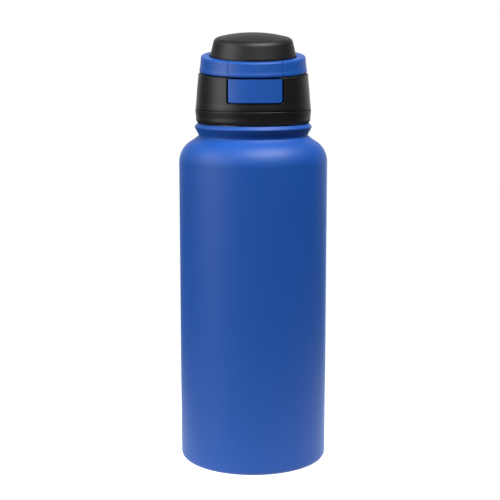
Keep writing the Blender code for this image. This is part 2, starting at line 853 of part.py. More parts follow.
outer_shell()
inner_liner()
base_cup()
seal_bead()
base_disc()
getter_cup()
mouth_seal()
threaded_base()
lid_housing()
spout()
small_ring("spout_seal", SPOUT_Y, 8.0, 9.9, FLOOR_TOP + GAP, SPOUT_FLANGE_Z - GAP, SILICONE)
small_ring("stem_wiper", STEM_Y, STEM_R + GAP, 3.7, 227.4, 228.3, SILICONE)
pin("cover_pin", -LUG_OUT, LUG_OUT, HINGE_Y, COVER_PIN_Z)
pin("loop_pin_left", -LOOP_KNUCKLE_X, -LUG_IN, HINGE_Y, LOOP_PIN_Z)
pin("loop_pin_right", LUG_IN, LOOP_KNUCKLE_X, HINGE_Y, LOOP_PIN_Z)
spout_cover()
cover_seal()
carry_loop()
loop_front_insert()
button()
cam_fork()
valve_arm()
plug("valve_plug", SPOUT_Y, PLUG_R)
plug("vent_plug", VENT_Y, 1.8)
pin("crossbar", -CROSSBAR_HALF, CROSSBAR_HALF, STEM_Y, CROSSBAR_Z)
springs()
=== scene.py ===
"""The finished look of a vacuum-insulated steel water bottle with a push-button drinking lid.

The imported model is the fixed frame: +Z up, origin at the centre of the base, the button faces -Y
and the hinges are at +Y. Lengths in the classes below are millimetres, and mm() turns them into
the frame's metres.
"""

import logging
import math
from dataclasses import dataclass, field
from enum import Enum
from typing import Callable, Iterable, Sequence

import bmesh
import bpy
from mathutils import Matrix, Vector


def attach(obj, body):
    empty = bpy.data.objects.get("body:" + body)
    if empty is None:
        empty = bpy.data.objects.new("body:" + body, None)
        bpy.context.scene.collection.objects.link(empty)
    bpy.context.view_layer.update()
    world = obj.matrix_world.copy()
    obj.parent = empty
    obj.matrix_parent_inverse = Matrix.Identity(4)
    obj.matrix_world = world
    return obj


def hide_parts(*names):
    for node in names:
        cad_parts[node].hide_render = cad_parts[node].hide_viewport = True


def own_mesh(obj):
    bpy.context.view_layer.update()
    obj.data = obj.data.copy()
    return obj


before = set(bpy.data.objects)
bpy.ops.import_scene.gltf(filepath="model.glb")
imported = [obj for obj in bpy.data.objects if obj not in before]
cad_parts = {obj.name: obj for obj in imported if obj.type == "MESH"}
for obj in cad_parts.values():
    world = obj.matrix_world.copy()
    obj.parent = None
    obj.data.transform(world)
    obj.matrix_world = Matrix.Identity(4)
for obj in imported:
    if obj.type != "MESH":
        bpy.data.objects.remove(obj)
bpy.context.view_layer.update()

LOG = logging.getLogger("water_bottle")
MM = 0.001

# How outlines and solids are finished: the chords of a fillet, the most of a side that one
# fillet takes, and the distances in metres below which points are welded.
DEGREES_PER_CHORD = 11
SIDE_SHARE = 0.48
WELD = 1e-6
SOFTEN_WELD = 2e-6

# Places that more than one sub-assembly shares, in millimetres.
HINGE_Y = 28.2
COVER_PIN_UP = 257.5
LOOP_PIN_UP = 252.3
PIN_BORE = 1.15
SPOUT_Y = -8.0
VENT_Y = 4.9
STEM_Y = 12.0
COVER_LEAN = 0.110

Point2 = tuple[float, float]
Point3 = tuple[float, float, float]
Colour = tuple[float, float, float]


class Body(Enum):
    """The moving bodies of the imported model."""

    BOTTLE = "bottle"
    SEAL = "seal"
    LID = "lid"
    BUTTON = "button"
    VALVE = "valve"
    COVER = "cover"
    LOOP = "loop"


class Slot(Enum):
    """The record's material slots."""

    PAINT = "paint"
    STEEL = "steel"
    SOLDER = "solder"
    BLUE = "blue_plastic"
    BLACK = "black_plastic"
    GREY = "grey_plastic"
    SILICONE = "silicone"


class Facets(Enum):
    """How many facets go round a turned piece."""

    LARGE = 190
    BAND = 188
    MEDIUM = 96
    SMALL = 40


# ------------------------------------------------------------------ outlines


@dataclass(frozen=True)
class Corner:
    """One corner of an outline in millimetres, and the radius that rounds it."""

    across: float
    up: float
    fillet: float = 0.0


def mm(*values: float) -> tuple[float, ...]:
    """Millimetres as a tuple of metres."""
    return tuple(value * MM for value in values)


def arc(centre: Point2, radius: float, start: float, end: float, steps: int) -> list[Corner]:
    """Corners along a circular arc.

    Args:
        centre: the arc's centre (across, up), in millimetres.
        radius: its radius, in millimetres.
        start: the first point's angle, in degrees.
        end: the last point's angle, in degrees.
        steps: how many chords the arc has.

    Returns:
        steps + 1 corners without a fillet of their own.
    """
    corners = []
    for i in range(steps + 1):
        angle = math.radians(start + (end - start) * i / steps)
        across = centre[0] + radius * math.cos(angle)
        corners.append(Corner(across, centre[1] + radius * math.sin(angle)))
    return corners


def rounded(
    corners: Sequence[Corner], closed: bool = True, support: float = 0.12
) -> list[Point2]:
    """Rounds an outline's corners and puts a supporting point beside each fillet.

    Args:
        corners: the outline, in order.
        closed: whether the last corner joins the first.
        support: how far beyond a fillet its supporting point stands, in millimetres, which
            keeps the smooth shading of the fillet off the flats beside it.

    Returns:
        The outline's points (across, up), in millimetres.
    """
    points: list[Point2] = []
    count = len(corners)
    for i, corner in enumerate(corners):
        here = Vector((corner.across, corner.up))
        at_end = not closed and i in (0, count - 1)
        if corner.fillet <= 0.0 or at_end:
            points.append(tuple(here))
            continue
        before = Vector((corners[i - 1].across, corners[i - 1].up)) - here
        after = Vector((corners[(i + 1) % count].across, corners[(i + 1) % count].up)) - here
        turn = math.pi - before.angle(after)
        room = SIDE_SHARE * min(before.length, after.length)
        reach = min(corner.fillet * math.tan(turn / 2), room)
        radius = reach / math.tan(turn / 2)
        start = here + before.normalized() * reach
        end = here + after.normalized() * reach
        bisector = (before.normalized() + after.normalized()).normalized()
        middle = here + bisector * math.hypot(reach, radius)
        swing = (start - middle).angle_signed(end - middle)
        steps = max(2, math.ceil(math.degrees(turn) / DEGREES_PER_CHORD))
        if reach + support < before.length / 2:
            points.append(tuple(start + before.normalized() * support))
        for step in range(steps + 1):
            spoke = Matrix.Rotation(-swing * step / steps, 2) @ (start - middle)
            points.append(tuple(middle + spoke))
        if reach + support < after.length / 2:
            points.append(tuple(end + after.normalized() * support))
    return points


# ------------------------------------------------------------------ meshes


def add_object(name: str, data: bpy.types.ID) -> bpy.types.Object:
    """Links a new object with that data to the scene and returns it."""
    made = bpy.data.objects.new(name, data)
    bpy.context.scene.collection.objects.link(made)
    return made


def object_from(name: str, shape: bmesh.types.BMesh) -> bpy.types.Object:
    """Turns a finished bmesh into an object of that name, and frees it."""
    mesh = bpy.data.meshes.new(name)
    shape.to_mesh(mesh)
    shape.free()
    return add_object(name, mesh)


def wire(name: str, points: Iterable[Point3], closed: bool) -> bpy.types.Object:
    """A line mesh through points in millimetres, joined end to start where it is closed."""
    shape = bmesh.new()
    verts = [shape.verts.new(mm(*point)) for point in points]
    for first, second in zip(verts, verts[1:] + verts[: int(closed)]):
        shape.edges.new((first, second))
    return object_from(name, shape)


def signed_volume(mesh: bpy.types.Mesh) -> float:
    """The volume inside a closed mesh, below zero where its faces point inwards."""
    mesh.calc_loop_triangles()
    total = 0.0
    for triangle in mesh.loop_triangles:
        a, b, c = (mesh.vertices[i].co for i in triangle.vertices)
        total += a.dot(b.cross(c))
    return total / 6


def settle(obj: bpy.types.Object) -> bpy.types.Object:
    """Turns an object's modifiers into a plain mesh whose faces point outwards."""
    bpy.context.view_layer.update()
    graph = bpy.context.evaluated_depsgraph_get()
    mesh = bpy.data.meshes.new_from_object(obj.evaluated_get(graph))
    obj.modifiers.clear()
    if obj.type == "MESH":
        obj.data = mesh
    else:
        name = obj.name
        bpy.data.objects.remove(obj)
        obj = add_object(name, mesh)
    if signed_volume(mesh) < 0.0:
        mesh.flip_normals()
    return obj


def block(name: str, low: Point3, high: Point3) -> bpy.types.Object:
    """A rectangular block between two corners, in millimetres."""
    shape = bmesh.new()
    bmesh.ops.create_cube(shape, size=1.0)
    size = Vector(mm(*high)) - Vector(mm(*low))
    middle = (Vector(mm(*high)) + Vector(mm(*low))) / 2
    shape.transform(Matrix.Translation(middle) @ Matrix.Diagonal((*size, 1.0)))
    return object_from(name, shape)


def rod(name: str, radius: float, start: Point3, end: Point3, facets: int = 48) -> bpy.types.Object:
    """A cylinder of that radius from one point to another, in millimetres."""
    a, b = Vector(mm(*start)), Vector(mm(*end))
    shape = bmesh.new()
    bmesh.ops.create_cone(
        shape,
        cap_ends=True,
        segments=facets,
        radius1=radius * MM,
        radius2=radius * MM,
        depth=(b - a).length,
    )
    turn = (b - a).to_track_quat("Z", "Y").to_matrix().to_4x4()
    shape.transform(Matrix.Translation((a + b) / 2) @ turn)
    return object_from(name, shape)


def prism(
    name: str, outline: Sequence[Point2], place: Callable[[float, float, float], Point3], ends: Point2
) -> bpy.types.Object:
    """A flat outline given thickness.

    Args:
        name: the object's name.
        outline: its points (across, up), in millimetres.
        place: turns (across, up, depth) into a point of the frame, in millimetres.
        ends: the two depths that the solid runs between, in millimetres.

    Returns:
        The solid's object, with its faces outwards.
    """
    shape = bmesh.new()
    rings = []
    for depth in ends:
        rings.append([shape.verts.new(mm(*place(u, v, depth))) for u, v in outline])
    shape.faces.new(rings[0])
    shape.faces.new(list(reversed(rings[1])))
    count = len(outline)
    for i in range(count):
        j = (i + 1) % count
        shape.faces.new((rings[0][j], rings[0][i], rings[1][i], rings[1][j]))
    bmesh.ops.recalc_face_normals(shape, faces=shape.faces)
    return object_from(name, shape)


def boolean(obj: bpy.types.Object, other: bpy.types.Object, operation: str) -> bpy.types.Object:
    """Joins, cuts or intersects a solid with another, which is then removed."""
    change = obj.modifiers.new(operation.lower(), "BOOLEAN")
    change.operation = operation
    change.object = other
    made = settle(obj)
    bpy.data.objects.remove(other)
    return made


def join(obj: bpy.types.Object, *others: bpy.types.Object) -> bpy.types.Object:
    """The solid with every other solid added to it."""
    for other in others:
        obj = boolean(obj, other, "UNION")
    return obj


def cut(obj: bpy.types.Object, *others: bpy.types.Object) -> bpy.types.Object:
    """The solid with every other solid taken from it."""
    for other in others:
        obj = boolean(obj, other, "DIFFERENCE")
    return obj


def keep(obj: bpy.types.Object, other: bpy.types.Object) -> bpy.types.Object:
    """What the two solids share."""
    return boolean(obj, other, "INTERSECT")


def gather(name: str, *others: bpy.types.Object) -> bpy.types.Object:
    """One object that holds the meshes of several as they are."""
    shape = bmesh.new()
    for other in others:
        shape.from_mesh(other.data)
        bpy.data.objects.remove(other)
    return object_from(name, shape)


def lean(obj: bpy.types.Object, slope_of: Callable[[float], float]) -> bpy.types.Object:
    """Shears a solid so that its level z falls towards the front by slope_of(z) per unit of -Y."""
    for vertex in obj.data.vertices:
        vertex.co.z += vertex.co.y * slope_of(vertex.co.z / MM)
    return obj


def soften(
    obj: bpy.types.Object, width: float, steps: int = 3, angle: float = 34.0
) -> bpy.types.Object:
    """Rounds every edge of a solid that is sharper than an angle.

    Args:
        obj: the solid.
        width: the rounding's width, in millimetres.
        steps: how many facets it has.
        angle: the sharpness in degrees from which an edge is rounded.

    Returns:
        The same object, as a plain mesh.
    """
    shape = bmesh.new()
    shape.from_mesh(obj.data)
    bmesh.ops.remove_doubles(shape, verts=shape.verts, dist=SOFTEN_WELD)
    bmesh.ops.dissolve_degenerate(shape, edges=shape.edges, dist=SOFTEN_WELD)
    shape.to_mesh(obj.data)
    shape.free()
    bevel = obj.modifiers.new("soften", "BEVEL")
    bevel.width = width * MM
    bevel.segments = steps
    bevel.limit_method = "ANGLE"
    bevel.angle_limit = math.radians(angle)
    bevel.use_clamp_overlap = False
    bevel.harden_normals = False
    obj.data.shade_smooth()
    return settle(obj)


# ------------------------------------------------------------------ geometry nodes


def add_node(
    tree: bpy.types.NodeTree, kind: str, feeds: dict[str | int, object] | None = None, **settings: object
) -> bpy.types.Node:
    """Adds a node to a tree.

    Args:
        tree: a material's tree or a group.
        kind: the node's type.
        feeds: for each input, by name or number, a socket to link or a value to set.
        settings: attributes of the node itself.

    Returns:
        The node.
    """
    made = tree.nodes.new(kind)
    for key, value in settings.items():
        setattr(made, key, value)
    for key, value in (feeds or {}).items():
        if isinstance(value, bpy.types.NodeSocket):
            tree.links.new(value, made.inputs[key])
        else:
            made.inputs[key].default_value = value
    return made


class Tree:
    """A Geometry Nodes tree under construction, with named inputs."""

    def __init__(self, name: str, inputs: dict[str, str]) -> None:
        """Makes the tree, its Geometry input and output, and one input for each name and type."""
        self.group = bpy.data.node_groups.new(name, "GeometryNodeTree")
        self.sockets: dict[str, str] = {}
        face = self.group.interface
        kinds = {"Geometry": "NodeSocketGeometry", **inputs, "Material": "NodeSocketMaterial"}
        for label, kind in kinds.items():
            made = face.new_socket(name=label, in_out="INPUT", socket_type=kind)
            self.sockets[label] = made.identifier
        face.new_socket(name="Geometry", in_out="OUTPUT", socket_type="NodeSocketGeometry")
        self.given = self.group.nodes.new("NodeGroupInput")

    def node(
        self, kind: str, feeds: dict[str | int, object] | None = None, **settings: object
    ) -> bpy.types.Node:
        """Adds a node with its inputs linked or set, as add_node does."""
        return add_node(self.group, kind, feeds, **settings)

    def math(self, operation: str, *values: object) -> bpy.types.NodeSocket:
        """A Math node's result."""
        feeds = dict(enumerate(values))
        return self.node("ShaderNodeMath", feeds, operation=operation).outputs[0]

    def finish(self, geometry: bpy.types.NodeSocket) -> None:
        """Ends the tree in smooth shading, Realize Instances and Set Material."""
        smooth = self.node("GeometryNodeSetShadeSmooth", {"Geometry": geometry})
        real = self.node("GeometryNodeRealizeInstances", {"Geometry": smooth.outputs[0]})
        feeds = {"Geometry": real.outputs[0], "Material": self.given.outputs["Material"]}
        dressed = self.node("GeometryNodeSetMaterial", feeds)
        self.node("NodeGroupOutput", {"Geometry": dressed.outputs[0]})

    def grow(self, obj: bpy.types.Object, **values: object) -> bpy.types.Object:
        """Runs the tree on an object and leaves the result as its plain mesh.

        Args:
            obj: the object that holds the tree's input geometry.
            values: the tree's inputs, by name with underscores for spaces.

        Returns:
            The same object.
        """
        modifier = obj.modifiers.new(self.group.name, "NODES")
        modifier.node_group = self.group
        for label, value in values.items():
            modifier[self.sockets[label.replace("_", " ")]] = value
        return settle(obj)


def turning_tree() -> Tree:
    """Spins an outline about +Z. Its points run along a line mesh, with the radius in x."""
    tree = Tree("turning", {"Facets": "NodeSocketInt", "Phase": "NodeSocketFloat"})
    outline = tree.given.outputs["Geometry"]
    count = tree.node("GeometryNodeAttributeDomainSize", {"Geometry": outline}).outputs["Point Count"]
    columns = tree.math("ADD", tree.given.outputs["Facets"], 1.0)
    grid = tree.node("GeometryNodeMeshGrid", {"Vertices X": columns, "Vertices Y": count})
    place = tree.node("GeometryNodeInputPosition").outputs[0]
    axes = tree.node("ShaderNodeSeparateXYZ", {0: place})
    share = tree.math("ADD", axes.outputs["X"], 0.5)
    turn = tree.math("MULTIPLY_ADD", share, math.tau, tree.given.outputs["Phase"])
    rows = tree.math("SUBTRACT", count, 1.0)
    row = tree.math("MULTIPLY", tree.math("ADD", axes.outputs["Y"], 0.5), rows)
    index = tree.node("FunctionNodeFloatToInt", {0: row}, rounding_mode="ROUND").outputs[0]
    feeds = {"Geometry": outline, "Value": place, "Index": index}
    sample = tree.node("GeometryNodeSampleIndex", feeds, data_type="FLOAT_VECTOR")
    point = tree.node("ShaderNodeSeparateXYZ", {0: sample.outputs[0]})
    across = tree.math("MULTIPLY", point.outputs["X"], tree.math("COSINE", turn))
    along = tree.math("MULTIPLY", point.outputs["X"], tree.math("SINE", turn))
    spun = tree.node("ShaderNodeCombineXYZ", {0: across, 1: along, 2: point.outputs["Z"]})
    feeds = {"Geometry": grid.outputs["Mesh"], "Position": spun.outputs[0]}
    shaped = tree.node("GeometryNodeSetPosition", feeds)
    feeds = {"Geometry": shaped.outputs[0], "Distance": WELD}
    merged = tree.node("GeometryNodeMergeByDistance", feeds)
    tree.finish(merged.outputs[0])
    return tree


def winding_tree() -> Tree:
    """Sweeps a section along a helix about +Z, for springs and screw threads."""
    tree = Tree(
        "winding",
        {
            "Radius": "NodeSocketFloat",
            "Turns": "NodeSocketFloat",
            "Rise": "NodeSocketFloat",
            "Steps": "NodeSocketInt",
        },
    )
    given = tree.given.outputs
    feeds = {
        "Resolution": given["Steps"],
        "Rotations": given["Turns"],
        "Start Radius": given["Radius"],
        "End Radius": given["Radius"],
        "Height": given["Rise"],
    }
    spiral = tree.node("GeometryNodeCurveSpiral", feeds)
    points = tree.math("MULTIPLY", given["Steps"], given["Turns"])
    feeds = {"Curve": spiral.outputs[0], "Count": points}
    path = tree.node("GeometryNodeResampleCurve", feeds)
    upright = tree.node("GeometryNodeSetCurveNormal", {"Curve": path.outputs[0]}, mode="Z_UP")
    section = tree.node("GeometryNodeMeshToCurve", {"Mesh": given["Geometry"]})
    feeds = {"Curve": upright.outputs[0], "Profile Curve": section.outputs[0], "Fill Caps": True}
    swept = tree.node("GeometryNodeCurveToMesh", feeds)
    feeds = {"Geometry": swept.outputs[0], "Distance": WELD}
    merged = tree.node("GeometryNodeMergeByDistance", feeds)
    tree.finish(merged.outputs[0])
    return tree


def stud_tree() -> Tree:
    """Puts one copy of a pin, given as the input mesh, at each of a row of evenly spaced places."""
    tree = Tree(
        "pin_row",
        {"Count": "NodeSocketInt", "Start": "NodeSocketVector", "Step": "NodeSocketVector"},
    )
    given = tree.given.outputs
    feeds = {"Count": given["Count"], "Start Location": given["Start"], "Offset": given["Step"]}
    row = tree.node("GeometryNodeMeshLine", feeds, mode="OFFSET")
    feeds = {"Points": row.outputs[0], "Instance": given["Geometry"]}
    copies = tree.node("GeometryNodeInstanceOnPoints", feeds)
    tree.finish(copies.outputs[0])
    return tree


class Workshop:
    """The trees that more than one sub-assembly uses, built once."""

    def __init__(self) -> None:
        """Builds the trees."""
        self.turning = turning_tree()
        self.winding = winding_tree()
        self.pins = stud_tree()

    def turned(
        self,
        name: str,
        corners: Sequence[Corner],
        facets: Facets = Facets.LARGE,
        centre: Point2 = (0.0, 0.0),
        solid: bool = False,
    ) -> bpy.types.Object:
        """A turned piece about a vertical axis.

        Args:
            name: the object's name.
            corners: its outline, with the radius across.
            facets: how many facets go round it.
            centre: where its axis stands, in millimetres.
            solid: whether the outline starts and ends on the axis.

        Returns:
            The piece, as a plain closed mesh.
        """
        points = rounded(corners, closed=not solid)
        if not solid:
            points.append(points[0])
        outline = wire(name, [(r, 0.0, z) for r, z in points], closed=False)
        obj = self.turning.grow(outline, Facets=facets.value, Phase=math.pi / 2)
        obj.data.transform(Matrix.Translation(mm(centre[0], centre[1], 0.0)))
        return obj

    def wound(
        self, name: str, section: Sequence[Point2], radius: float, turns: float, rise: float, steps: int
    ) -> bpy.types.Object:
        """A section swept along a right-handed helix that starts at +X, at height 0.

        Args:
            name: the object's name.
            section: its outline as (outward, up) from the helix, in millimetres.
            radius: the helix's radius, in millimetres.
            turns: how many turns it makes.
            rise: its height from end to end, in millimetres.
            steps: how many points one turn has.

        Returns:
            The ridge or coil, as a plain closed mesh.
        """
        outline = wire(name, [(u, v, 0.0) for u, v in section], closed=True)
        return self.winding.grow(
            outline, Radius=radius * MM, Turns=turns, Rise=rise * MM, Steps=steps
        )


# ------------------------------------------------------------------ shading


class Effect:
    """A shader node group under construction."""

    def __init__(self, name: str, inputs: dict[str, tuple[str, object]], outputs: dict[str, str]) -> None:
        """Makes the group with its named inputs (type and default) and outputs (type)."""
        self.group = bpy.data.node_groups.new(name, "ShaderNodeTree")
        for label, (kind, default) in inputs.items():
            made = self.group.interface.new_socket(name=label, in_out="INPUT", socket_type=kind)
            if default is not None:
                made.default_value = default
        for label, kind in outputs.items():
            self.group.interface.new_socket(name=label, in_out="OUTPUT", socket_type=kind)
        self.given = self.group.nodes.new("NodeGroupInput").outputs
        self.result = self.group.nodes.new("NodeGroupOutput").inputs

    def node(
        self, kind: str, feeds: dict[str | int, object] | None = None, **settings: object
    ) -> bpy.types.Node:
        """Adds a node with its inputs linked or set, as add_node does."""
        return add_node(self.group, kind, feeds, **settings)

    def give(self, label: str, socket: bpy.types.NodeSocket) -> None:
        """Links a socket to the group's output of that name."""
        self.group.links.new(socket, self.result[label])


def grain_effect() -> bpy.types.NodeTree:
    """Fine raised grain: a coarse swell with a finer tooth on it, as powder coat and moulds leave."""
    effect = Effect(
        "fine_grain",
        {
            "Vector": ("NodeSocketVector", None),
            "Scale": ("NodeSocketFloat", 2500.0),
            "Tooth": ("NodeSocketFloat", 0.4),
        },
        {"Height": "NodeSocketFloat", "Mask": "NodeSocketFloat"},
    )
    place, scale = effect.given["Vector"], effect.given["Scale"]
    feeds = {"Vector": place, "Scale": scale, "Detail": 1.5, "Roughness": 0.5}
    swell = effect.node("ShaderNodeTexNoise", feeds)
    finer = effect.node("ShaderNodeMath", {0: scale, 1: 3.1}, operation="MULTIPLY")
    feeds = {"Vector": place, "Scale": finer.outputs[0]}
    cells = effect.node("ShaderNodeTexVoronoi", feeds, feature="SMOOTH_F1")
    feeds = {0: cells.outputs["Distance"], 1: effect.given["Tooth"]}
    tooth = effect.node("ShaderNodeMath", feeds, operation="MULTIPLY")
    feeds = {0: swell.outputs[0], 1: tooth.outputs[0]}
    height = effect.node("ShaderNodeMath", feeds, operation="SUBTRACT")
    effect.give("Height", height.outputs[0])
    effect.give("Mask", swell.outputs[0])
    return effect.group


def drift_effect() -> bpy.types.NodeTree:
    """A colour that drifts a little lighter and darker over the surface."""
    effect = Effect(
        "tone_drift",
        {
            "Vector": ("NodeSocketVector", None),
            "Colour": ("NodeSocketColor", (0.5, 0.5, 0.5, 1.0)),
            "Amount": ("NodeSocketFloat", 0.06),
            "Scale": ("NodeSocketFloat", 30.0),
        },
        {"Colour": "NodeSocketColor"},
    )
    feeds = {"Vector": effect.given["Vector"], "Scale": effect.given["Scale"], "Detail": 3.0}
    noise = effect.node("ShaderNodeTexNoise", feeds)
    middle = effect.node("ShaderNodeMath", {0: noise.outputs[0], 1: 0.5}, operation="SUBTRACT")
    feeds = {0: middle.outputs[0], 1: effect.given["Amount"], 2: 1.0}
    gain = effect.node("ShaderNodeMath", feeds, operation="MULTIPLY_ADD")
    feeds = {0: effect.given["Colour"], "Scale": gain.outputs[0]}
    tinted = effect.node("ShaderNodeVectorMath", feeds, operation="SCALE")
    effect.give("Colour", tinted.outputs[0])
    return effect.group


def handling_effect() -> bpy.types.NodeTree:
    """Roughness that varies in soft patches, as handling and cleaning leave it."""
    effect = Effect(
        "handling",
        {
            "Vector": ("NodeSocketVector", None),
            "Roughness": ("NodeSocketFloat", 0.4),
            "Spread": ("NodeSocketFloat", 0.08),
            "Scale": ("NodeSocketFloat", 45.0),
        },
        {"Roughness": "NodeSocketFloat"},
    )
    feeds = {"Vector": effect.given["Vector"], "Scale": effect.given["Scale"], "Detail": 4.0}
    noise = effect.node("ShaderNodeTexNoise", feeds)
    middle = effect.node("ShaderNodeMath", {0: noise.outputs[0], 1: 0.5}, operation="SUBTRACT")
    feeds = {0: middle.outputs[0], 1: effect.given["Spread"], 2: effect.given["Roughness"]}
    rough = effect.node("ShaderNodeMath", feeds, operation="MULTIPLY_ADD", use_clamp=True)
    effect.give("Roughness", rough.outputs[0])
    return effect.group


@dataclass(frozen=True)
class Effects:
    """The shader groups that the finishes share."""

    grain: bpy.types.NodeTree
    drift: bpy.types.NodeTree
    handling: bpy.types.NodeTree


def make_effects() -> Effects:
    """Builds each shared shader group once."""
    return Effects(grain_effect(), drift_effect(), handling_effect())


@dataclass(frozen=True)
class Grained:
    """A satin surface with a fine raised grain: powder coat, moulded plastic or silicone."""

    name: str
    colour: Colour
    roughness: float
    spread: float = 0.08
    grain_size: float = 0.4
    grain_height: float = 0.006
    tooth: float = 0.4
    drift: float = 0.08
    specular: float = 0.5
    sheen: float = 0.0
    sheen_tint: Colour = (1.0, 1.0, 1.0)
    subsurface: float = 0.0

    def material(self, effects: Effects) -> bpy.types.Material:
        """The finish as a procedural material on Object coordinates."""
        made = bpy.data.materials.new(self.name)
        made.use_nodes = True
        tree = made.node_tree
        shader = tree.nodes["Principled BSDF"]
        place = add_node(tree, "ShaderNodeTexCoord").outputs["Object"]
        feeds = {"Vector": place, "Colour": (*self.colour, 1.0), "Amount": self.drift}
        tone = add_group(tree, effects.drift, feeds)
        feeds = {"Vector": place, "Roughness": self.roughness, "Spread": self.spread}
        rough = add_group(tree, effects.handling, feeds)
        feeds = {"Vector": place, "Scale": 1.0 / (self.grain_size * MM), "Tooth": self.tooth}
        grain = add_group(tree, effects.grain, feeds)
        feeds = {"Height": grain.outputs["Height"], "Distance": self.grain_height * MM, "Strength": 1.0}
        bump = add_node(tree, "ShaderNodeBump", feeds)
        tree.links.new(tone.outputs["Colour"], shader.inputs["Base Color"])
        tree.links.new(rough.outputs["Roughness"], shader.inputs["Roughness"])
        tree.links.new(bump.outputs[0], shader.inputs["Normal"])
        shader.inputs["Specular IOR Level"].default_value = self.specular
        shader.inputs["Sheen Weight"].default_value = self.sheen
        shader.inputs["Sheen Roughness"].default_value = 0.25
        shader.inputs["Sheen Tint"].default_value = (*self.sheen_tint, 1.0)
        shader.inputs["Subsurface Weight"].default_value = self.subsurface
        shader.inputs["Subsurface Scale"].default_value = 0.002
        return made


@dataclass(frozen=True)
class TurnedSteel:
    """Stainless steel with fine circular brush lines about a vertical axis."""

    name: str
    colour: Colour = (0.60, 0.59, 0.57)
    roughness: float = 0.27
    lines: float = 2600.0
    line_height: float = 0.0015

    def material(self, effects: Effects) -> bpy.types.Material:
        """The finish as a procedural material on Object coordinates."""
        made = bpy.data.materials.new(self.name)
        made.use_nodes = True
        tree = made.node_tree
        shader = tree.nodes["Principled BSDF"]
        place = add_node(tree, "ShaderNodeTexCoord").outputs["Object"]
        axes = add_node(tree, "ShaderNodeSeparateXYZ", {0: place})
        flat = add_node(tree, "ShaderNodeCombineXYZ", {0: axes.outputs["X"], 1: axes.outputs["Y"]})
        radius = add_node(tree, "ShaderNodeVectorMath", {0: flat.outputs[0]}, operation="LENGTH")
        feeds = {0: radius.outputs["Value"], 2: axes.outputs["Z"]}
        ring = add_node(tree, "ShaderNodeCombineXYZ", feeds)
        feeds = {"Vector": ring.outputs[0], "Scale": self.lines, "Detail": 3.0}
        brush = add_node(tree, "ShaderNodeTexNoise", feeds)
        feeds = {"Height": brush.outputs[0], "Distance": self.line_height * MM, "Strength": 1.0}
        bump = add_node(tree, "ShaderNodeBump", feeds)
        feeds = {"Vector": place, "Colour": (*self.colour, 1.0), "Amount": 0.08}
        tone = add_group(tree, effects.drift, feeds)
        feeds = {"Vector": place, "Roughness": self.roughness, "Spread": 0.12}
        rough = add_group(tree, effects.handling, feeds)
        tree.links.new(tone.outputs["Colour"], shader.inputs["Base Color"])
        tree.links.new(rough.outputs["Roughness"], shader.inputs["Roughness"])
        tree.links.new(bump.outputs[0], shader.inputs["Normal"])
        shader.inputs["Metallic"].default_value = 1.0
        return made


def add_group(
    tree: bpy.types.NodeTree, group: bpy.types.NodeTree, feeds: dict[str | int, object]
) -> bpy.types.Node:
    """Places a shared shader group in a material, with its inputs linked or set."""
    return add_node(tree, "ShaderNodeGroup", feeds, node_tree=group)


class Finishes:
    """One material for each of the record's slots."""

    RECIPES: dict[Slot, "Grained | TurnedSteel"] = {
        Slot.PAINT: Grained(
            "blue_powder_coat",
            (0.003, 0.048, 0.238),
            roughness=0.52,
            grain_size=0.55,
            grain_height=0.008,
            specular=0.3,
            sheen=0.3,
            sheen_tint=(0.3, 0.6, 1.0),
        ),
        Slot.BLUE: Grained(
            "blue_moulded_plastic",
            (0.003, 0.047, 0.228),
            roughness=0.48,
            specular=0.3,
            grain_size=0.3,
            grain_height=0.0022,
            drift=0.05,
        ),
        Slot.BLACK: Grained(
            "black_moulded_plastic",
            (0.004, 0.004, 0.0042),
            roughness=0.42,
            specular=0.27,
            grain_size=0.32,
            grain_height=0.0028,
            drift=0.2,
        ),
        Slot.GREY: Grained(
            "dark_grey_plastic",
            (0.040, 0.041, 0.044),
            roughness=0.40,
            grain_size=0.35,
            grain_height=0.002,
        ),
        Slot.SILICONE: Grained(
            "frosted_silicone",
            (0.42, 0.43, 0.44),
            roughness=0.58,
            grain_size=0.6,
            grain_height=0.003,
            subsurface=0.25,
        ),
        Slot.SOLDER: Grained(
            "glass_solder",
            (0.08, 0.09, 0.10),
            roughness=0.18,
            grain_size=1.2,
            grain_height=0.01,
            drift=0.3,
        ),
        Slot.STEEL: TurnedSteel("brushed_stainless_steel"),
    }
    MATT_BLACK = Grained(
        "black_matt_plastic",
        (0.004, 0.004, 0.0042),
        roughness=0.5,
        specular=0.26,
        grain_size=0.4,
        grain_height=0.004,
        drift=0.2,
    )

    def __init__(self, effects: Effects) -> None:
        """Makes every slot's material."""
        self.of = {slot: recipe.material(effects) for slot, recipe in self.RECIPES.items()}
        self.matt_black = self.MATT_BLACK.material(effects)

    def dress(
        self, obj: bpy.types.Object, slot: Slot, finish: bpy.types.Material | None = None
    ) -> None:
        """Gives an object one material: the slot's, or a finish of its own."""
        obj.data.materials.clear()
        obj.data.materials.append(finish or self.of[slot])


# ------------------------------------------------------------------ sub-assemblies


